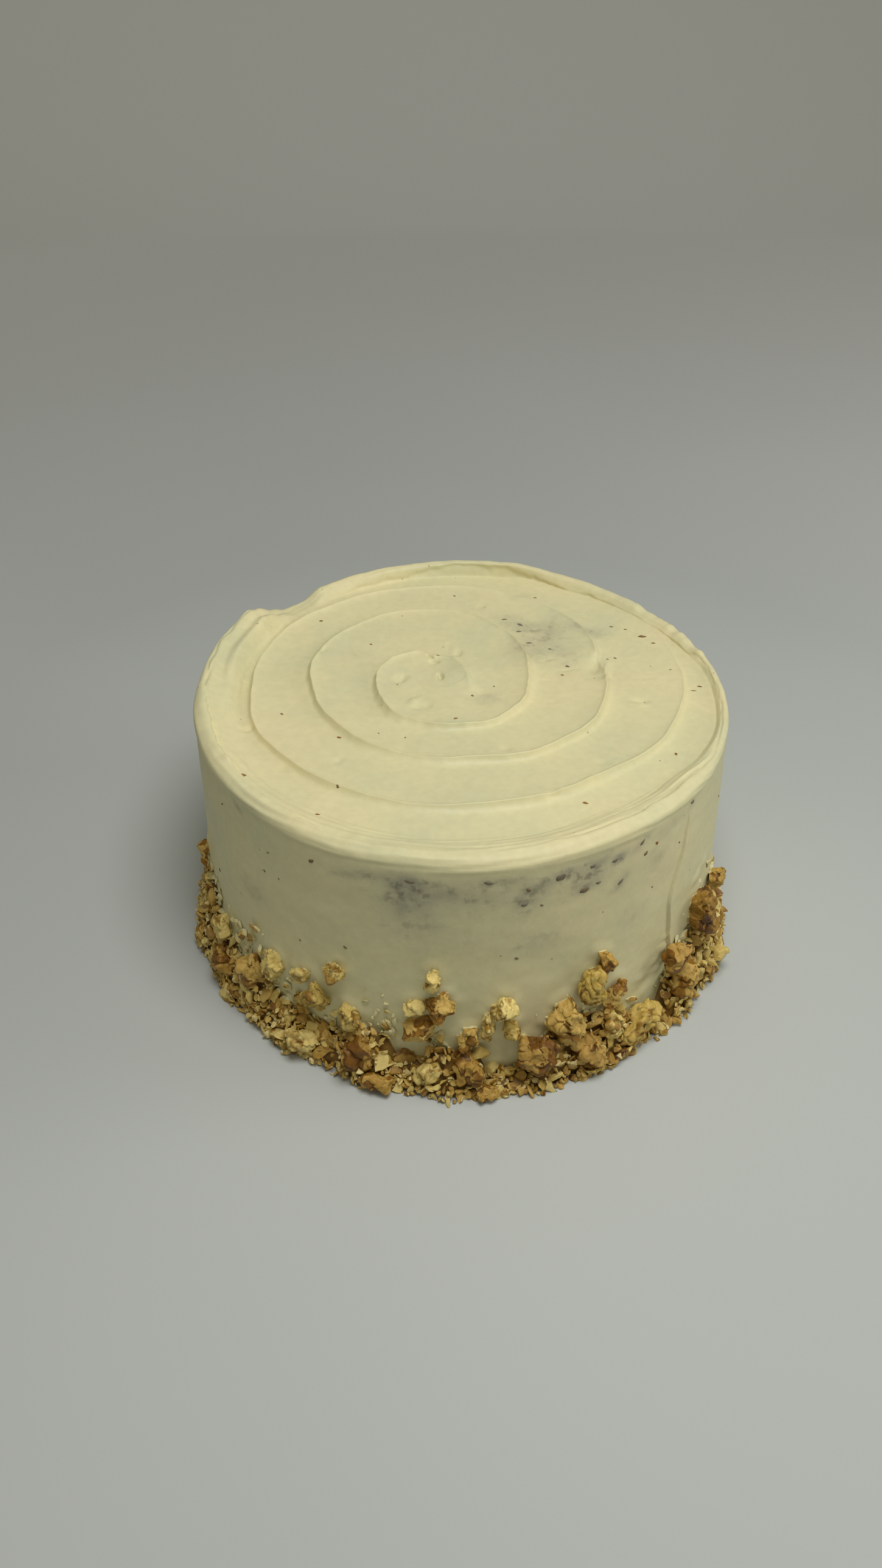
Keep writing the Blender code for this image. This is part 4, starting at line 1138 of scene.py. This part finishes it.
def build_specks(material, frosting):
    """Flakes caught in the frosting, set on its real surface."""
    chance = random.Random(9)
    shape, shape_faces, _, _ = chunk(random.Random(4), 2, 1)
    shape = shape / np.abs(shape).max(axis=0)
    points, faces, tone = [], [], []
    spots = []
    for x, y, long, wide, turn, dark in TOP_CRUMBS:
        spots.append((Vector((x, y, 120.0)), Vector((0, 0, -1)), long, wide, turn, dark))
    for angle, z, long, wide, turn, dark in WALL_CRUMBS:
        out = Vector((math.cos(math.radians(angle)), math.sin(math.radians(angle)), 0.0))
        spots.append((out * 130.0 + Vector((0, 0, z)), -out, long, wide, turn, dark))
    for start, way, long, wide, turn, dark in spots:
        hit, place, normal, _ = frosting.ray_cast(start * MM, way)
        if not hit:
            continue
        if normal.dot(way) > 0.0:
            normal = -normal
        east = Vector((0, 0, 1)).cross(normal)
        east = Vector((1, 0, 0)) if east.length < 0.5 else east.normalized()
        north = normal.cross(east)
        t = math.radians(turn)
        along = east * math.cos(t) + north * math.sin(t)
        aside = north * math.cos(t) - east * math.sin(t)
        basis = np.array([along * long, aside * wide, normal * 0.22])
        jitter = 1.0 + 0.25 * chance.uniform(-1, 1)
        moved = shape @ basis * jitter + np.array(place) / MM + np.array(normal) * 0.02
        base = sum(len(p) for p in points)
        points.append(moved)
        faces += [tuple(v + base for v in f) for f in shape_faces]
        tone.append(np.full(len(moved), dark))
    make_object("caught_specks", np.concatenate(points), faces, material,
                [("tone", np.concatenate(tone))])


# --------------------------------------------------------------------------------------- staging
def build_stage():
    """A pale floor that curves up into a backdrop well behind the cake."""
    material, nodes, links, shader = new_material("pale_floor")
    place = add(nodes, "ShaderNodeTexCoord").outputs["Object"]
    faint = noise_node(nodes, links, 3.0, 2.0, where=place)
    near = ramp(nodes, links, faint.outputs["Fac"], ((0.3, (0.49, 0.525, 0.505)), (0.7, (0.525, 0.56, 0.54))))
    length = add(nodes, "ShaderNodeVectorMath", operation="LENGTH")
    links.new(place, length.inputs[0])
    away = ramp(nodes, links, length.outputs["Value"], ((0.25, grey(0.0)), (0.95, grey(1.0))))
    seen = add(nodes, "ShaderNodeLightPath").outputs["Is Camera Ray"]
    amount = maths(nodes, links, "MULTIPLY", away, seen)
    links.new(mix(nodes, links, "MIX", amount, near, (0.95, 0.98, 1.0)), shader.inputs["Base Color"])
    shader.inputs["Roughness"].default_value = 0.75
    line = [(-3.0, 0.0), (0.9, 0.0)]
    line += [(0.9 + 0.7 * math.sin(t), 0.7 - 0.7 * math.cos(t)) for t in np.linspace(0.1, math.pi / 2, 16)]
    line.append((1.6, 2.6))
    points = [(x, y, z - 0.0001) for y, z in line for x in (-3.0, 3.0)]
    faces = [(2 * i, 2 * i + 1, 2 * i + 3, 2 * i + 2) for i in range(len(line) - 1)]
    mesh = bpy.data.meshes.new("floor")
    mesh.from_pydata(points, [], faces)
    mesh.shade_smooth()
    mesh.materials.append(material)
    ob = bpy.data.objects.new("floor", mesh)
    bpy.context.scene.collection.objects.link(ob)


def build_light(name, place, aim, width, power, colour):
    """A round soft lamp at a place, turned to face a point."""
    lamp = bpy.data.lights.new(name, "AREA")
    lamp.shape = "DISK"
    lamp.size = width
    lamp.energy = power
    lamp.color = colour
    ob = bpy.data.objects.new(name, lamp)
    ob.location = place
    ob.rotation_euler = (Vector(aim) - Vector(place)).to_track_quat("-Z", "Y").to_euler()
    bpy.context.scene.collection.objects.link(ob)


def build_lighting():
    """A warm dim room, a key light above the front and a softer one from the right."""
    scene = bpy.context.scene
    scene.view_settings.view_transform = "Standard"
    world = bpy.data.worlds.new("studio")
    world.use_nodes = True
    back = world.node_tree.nodes["Background"]
    back.inputs["Color"].default_value = (1.0, 0.94, 0.76, 1.0)
    back.inputs["Strength"].default_value = 0.235
    scene.world = world
    build_light("key", (0.08, -0.15, 0.60), (0.0, 0.0, 0.06), 0.30, 2.08, (1.0, 0.985, 0.98))
    build_light("side", (0.80, -0.02, 0.36), (0.0, 0.0, 0.05), 0.40, 1.5, (1.0, 0.99, 0.96))


def build_camera():
    """The view from the front, looking down at about 38 degrees."""
    lens = bpy.data.cameras.new("camera")
    lens.lens = 27.04
    lens.sensor_width = 36.0
    aim = Vector((-0.0066, 0.0, 0.04356))
    elevation, roll, distance = 0.66492, -0.01145, 0.3904
    back = Vector((0.0, -math.cos(elevation), math.sin(elevation)))
    right = Vector((1.0, 0.0, 0.0))
    up = back.cross(right)
    right, up = right * math.cos(roll) + up * math.sin(roll), up * math.cos(roll) - right * math.sin(roll)
    ob = bpy.data.objects.new("camera", lens)
    turn = Matrix((right, up, back)).transposed().to_4x4()
    ob.matrix_world = Matrix.Translation(aim + back * distance) @ turn
    bpy.context.scene.collection.objects.link(ob)
    bpy.context.scene.camera = ob


build_camera()
build_lighting()
build_stage()
nut_materials = {kind: walnut_material("walnut_" + kind + "_nut", *tones) for kind, tones in WALNUTS.items()}
nut_tree = tree_of(build_walnuts(nut_materials))
frosting = build_frosting(frosting_material(), nut_tree)
build_core(nut_materials["crumb"])
build_heap(nut_materials, nut_tree)
build_crumbs(nut_materials["crumb"])
bpy.context.view_layer.update()
build_specks(crumb_material(), frosting)
